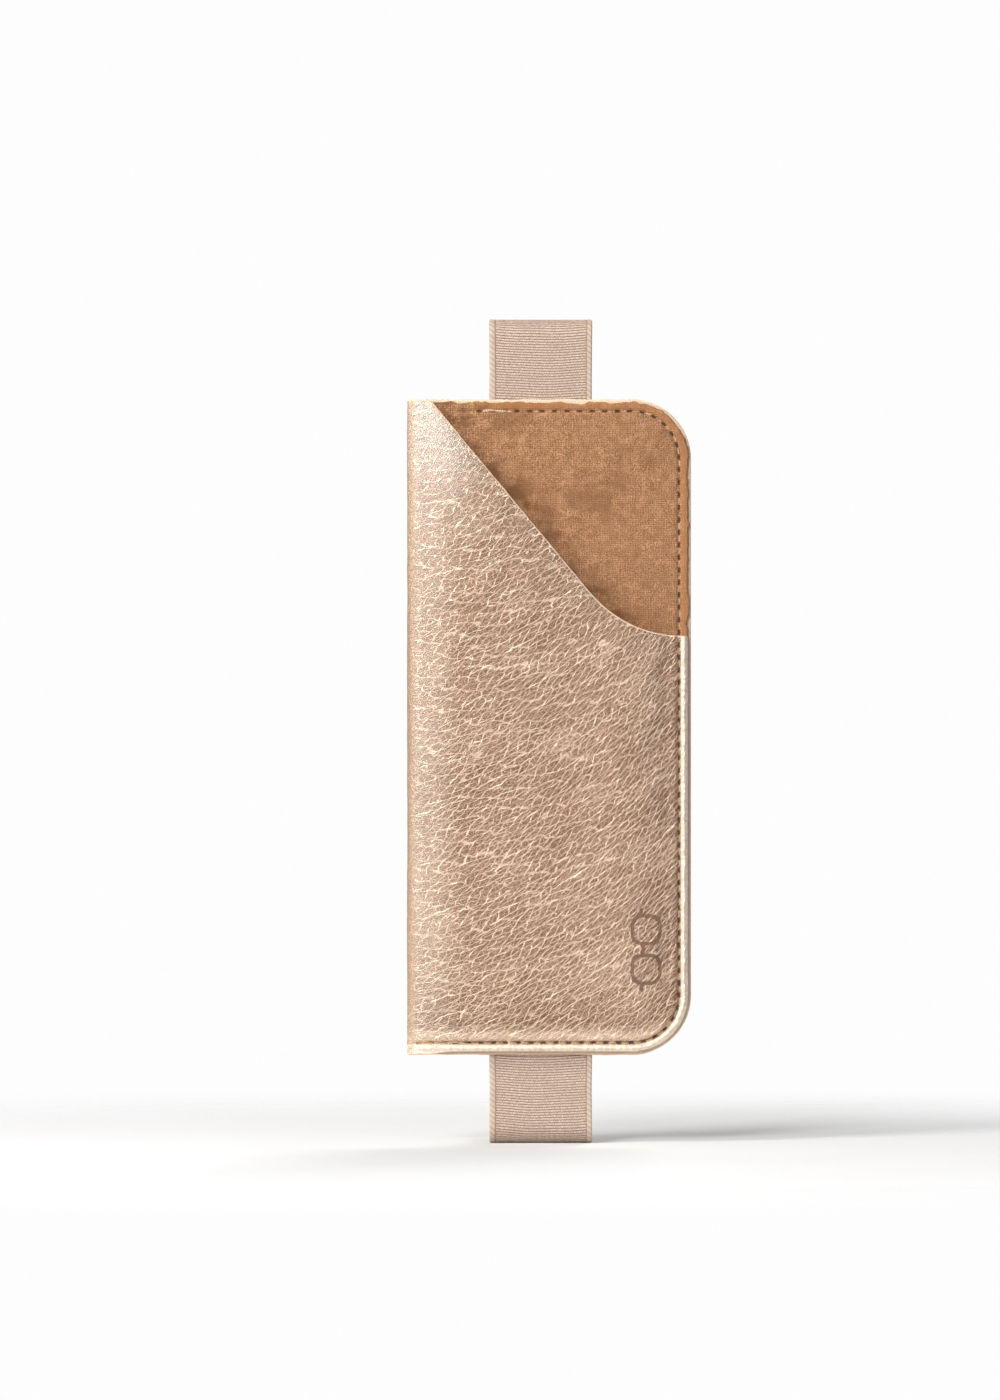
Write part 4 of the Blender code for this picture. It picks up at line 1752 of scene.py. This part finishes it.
@dataclass
class PenLoop:
    """The pen loop: webbing sewn behind the side seam, folded flat behind the pouch."""

    finishes: Finishes
    webbing: Webbing
    axis_x: float = 33.9
    axis_y: float = 1.855
    middle_z: float = -16.25
    ring_y: float = 6.01
    ring_bend: float = 3.1
    near_x: float = 28.7
    far_x: float = 19.6
    roll: float = 0.80
    tab_left: float = 25.6
    tab_gap: float = 0.12

    def place(self, flat: Array) -> Array:
        """Points of the XY plane at the loop's height."""
        return vectors(flat[:, 0], flat[:, 1], self.middle_z)

    def tab_path(self) -> Array:
        """The sewn end: it follows the back leather, and rolls round the hinge line.

        The roll is a circle round the hinge, so that the loop leaves it along a tangent at
        every angle of its swing.
        """
        x = np.linspace(self.tab_left, self.axis_x - 0.2, 30)
        y = LAYERS.back(x, np.full_like(x, self.middle_z))
        y = y + (self.webbing.thickness / 2.0 + self.tab_gap)
        low = self.axis_y - self.roll
        y = y + (low - y) * ease(x, self.axis_x - 4.0, self.axis_x - 1.0)
        roll = arc_points((self.axis_x, self.axis_y), self.roll, -90.0, 215.0, 60)
        return self.place(np.concatenate([vectors(x, y), roll]))

    def loop_path(self) -> Array:
        """The loop: off the roll, along the front wall, round the pen, and to its end."""
        far = arc_points((self.far_x, self.ring_y), self.ring_bend, 270.0, 90.0, 40)
        near = arc_points((self.near_x, self.ring_y), self.ring_bend, 90.0, -41.0, 32)
        return self.place(np.concatenate([[[self.axis_x, self.axis_y + self.roll]], far, near]))

    def make(self) -> list[Piece]:
        """Builds and dresses the sewn end on the pouch and the loop on its hinge."""
        side = np.array([0.0, 0.0, 1.0])
        tab = self.webbing.solid("pen_loop_end", self.tab_path(), side)
        loop = self.webbing.solid("pen_loop_web", self.loop_path(), side)
        elastic = [self.finishes.elastic]
        dress(tab, elastic, Slot.ELASTIC, "pen_loop_tab")
        dress(loop, elastic, Slot.ELASTIC, "pen_loop")
        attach(tab, Body.POUCH.value)
        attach(loop, Body.PEN.value)
        return [tab, loop]


# ---------------------------------------------------------------- stage


@dataclass(frozen=True)
class Lamp:
    """A square area lamp that looks at the case's middle; places and sizes in metres."""

    name: str
    place: Colour
    size: float
    power: float
    tint: Colour

    def put(self) -> None:
        """Places and turns the lamp."""
        data = bpy.data.lights.new(self.name, "AREA")
        data.shape, data.size = "SQUARE", self.size
        data.energy, data.color = self.power, self.tint
        obj = put_object(self.name, data)
        obj.location = self.place
        obj.rotation_euler = (-obj.location).to_track_quat("-Z", "Y").to_euler()


LAMPS = (
    Lamp("key", (-0.42, -0.42, 0.56), 0.18, 3.6, (1.0, 0.98, 0.95)),
    Lamp("sheen", (-0.42, -1.10, 0.62), 0.30, 10.0, (1.0, 0.99, 0.97)),
    Lamp("side", (-0.62, -0.50, 0.10), 0.35, 3.6, (1.0, 0.99, 0.97)),
    Lamp("fill", (0.9, -1.3, 0.2), 0.9, 3.0, (1.0, 0.98, 0.96)),
    Lamp("rear", (0.5, 1.2, 0.8), 0.8, 14.0, (1.0, 0.98, 0.96)),
)


@dataclass
class Studio:
    """Camera, pale floor and soft light, in metres; the floor's fade is in millimetres."""

    distance: float = 2.2
    centre: Colour = (-0.0122, -0.0098, 0.0067)
    sensor: float = 36.0
    frame_height: float = 0.346
    floor_z: float = -0.10330
    floor_half: float = 40.0
    fade_from: float = 60.0
    fade_to: float = 330.0
    glow: float = 0.28

    def camera(self) -> None:
        """A long lens, straight on: its length is the sensor times distance over height."""
        data = bpy.data.cameras.new("camera")
        data.sensor_width = self.sensor
        data.lens = self.sensor * self.distance / self.frame_height
        obj = put_object("camera", data)
        x, y, z = self.centre
        obj.location = (x, y - self.distance, z)
        obj.rotation_euler = (math.pi / 2.0, 0.0, 0.0)
        bpy.context.scene.camera = obj

    def floor(self) -> None:
        """A pale floor that clears into the backdrop's light away from the case."""
        half = self.floor_half / MM
        x, y = np.meshgrid([-half, half], [-half, half], indexing="ij")
        points = vectors(x, y, self.floor_z / MM).reshape(-1, 3)
        obj = put_mesh("floor", points, [(grid_faces(2, 2), 0)], {})
        bench = Bench("pale_floor")
        place = bench.place()
        tone = bench.mix(bench.noise(place, 0.02, 3.0), (0.70,) * 3, (0.74,) * 3)
        paper = bench.node("ShaderNodeBsdfDiffuse", {}, {"Color": tone})
        clear = bench.node("ShaderNodeBsdfTransparent")
        x, y, _ = bench.split(place)
        fade = ((x**2.0 + y**2.0) ** 0.5).ease(self.fade_from, self.fade_to)
        both = {0: fade, 1: paper.outputs[0], 2: clear.outputs[0]}
        obj.data.materials.append(bench.end(bench.node("ShaderNodeMixShader", {}, both)))

    def world(self) -> None:
        """Even pale light all round: brighter to the camera than to the case."""
        bench = Bench("studio", world=True)
        kind = "ShaderNodeBackground"
        lit = bench.node(kind, {}, {"Color": (0.95, 0.97, 1.0, 1.0), "Strength": self.glow})
        seen = bench.node(kind, {}, {"Color": (0.985, 0.985, 0.985, 1.0)})
        ray = bench.node("ShaderNodeLightPath").outputs["Is Camera Ray"]
        both = {0: ray, 1: lit.outputs[0], 2: seen.outputs[0]}
        bpy.context.scene.world = bench.end(bench.node("ShaderNodeMixShader", {}, both))

    def make(self) -> None:
        """Sets the camera, the floor and the lights."""
        bpy.context.scene.view_settings.view_transform = "Standard"
        self.camera()
        self.floor()
        self.world()
        for lamp in LAMPS:
            lamp.put()


def main() -> None:
    """Builds the case around its frame, from the cover to the pen loop."""
    logging.basicConfig(level=logging.INFO, format="%(name)s: %(message)s")
    Studio().make()
    finishes = Finishes.built()
    webbing = Webbing()
    parts = [
        LeatherCover(finishes),
        VelourLining(finishes),
        BackStiffening(finishes),
        SeamStitches(finishes),
        BookBand(finishes, webbing),
        PenLoop(finishes, webbing),
    ]
    for part in parts:
        for piece in part.make():
            LOG.info("%s: %d faces", piece.name, len(piece.data.polygons))
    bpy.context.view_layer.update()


if __name__ == "__main__":
    main()
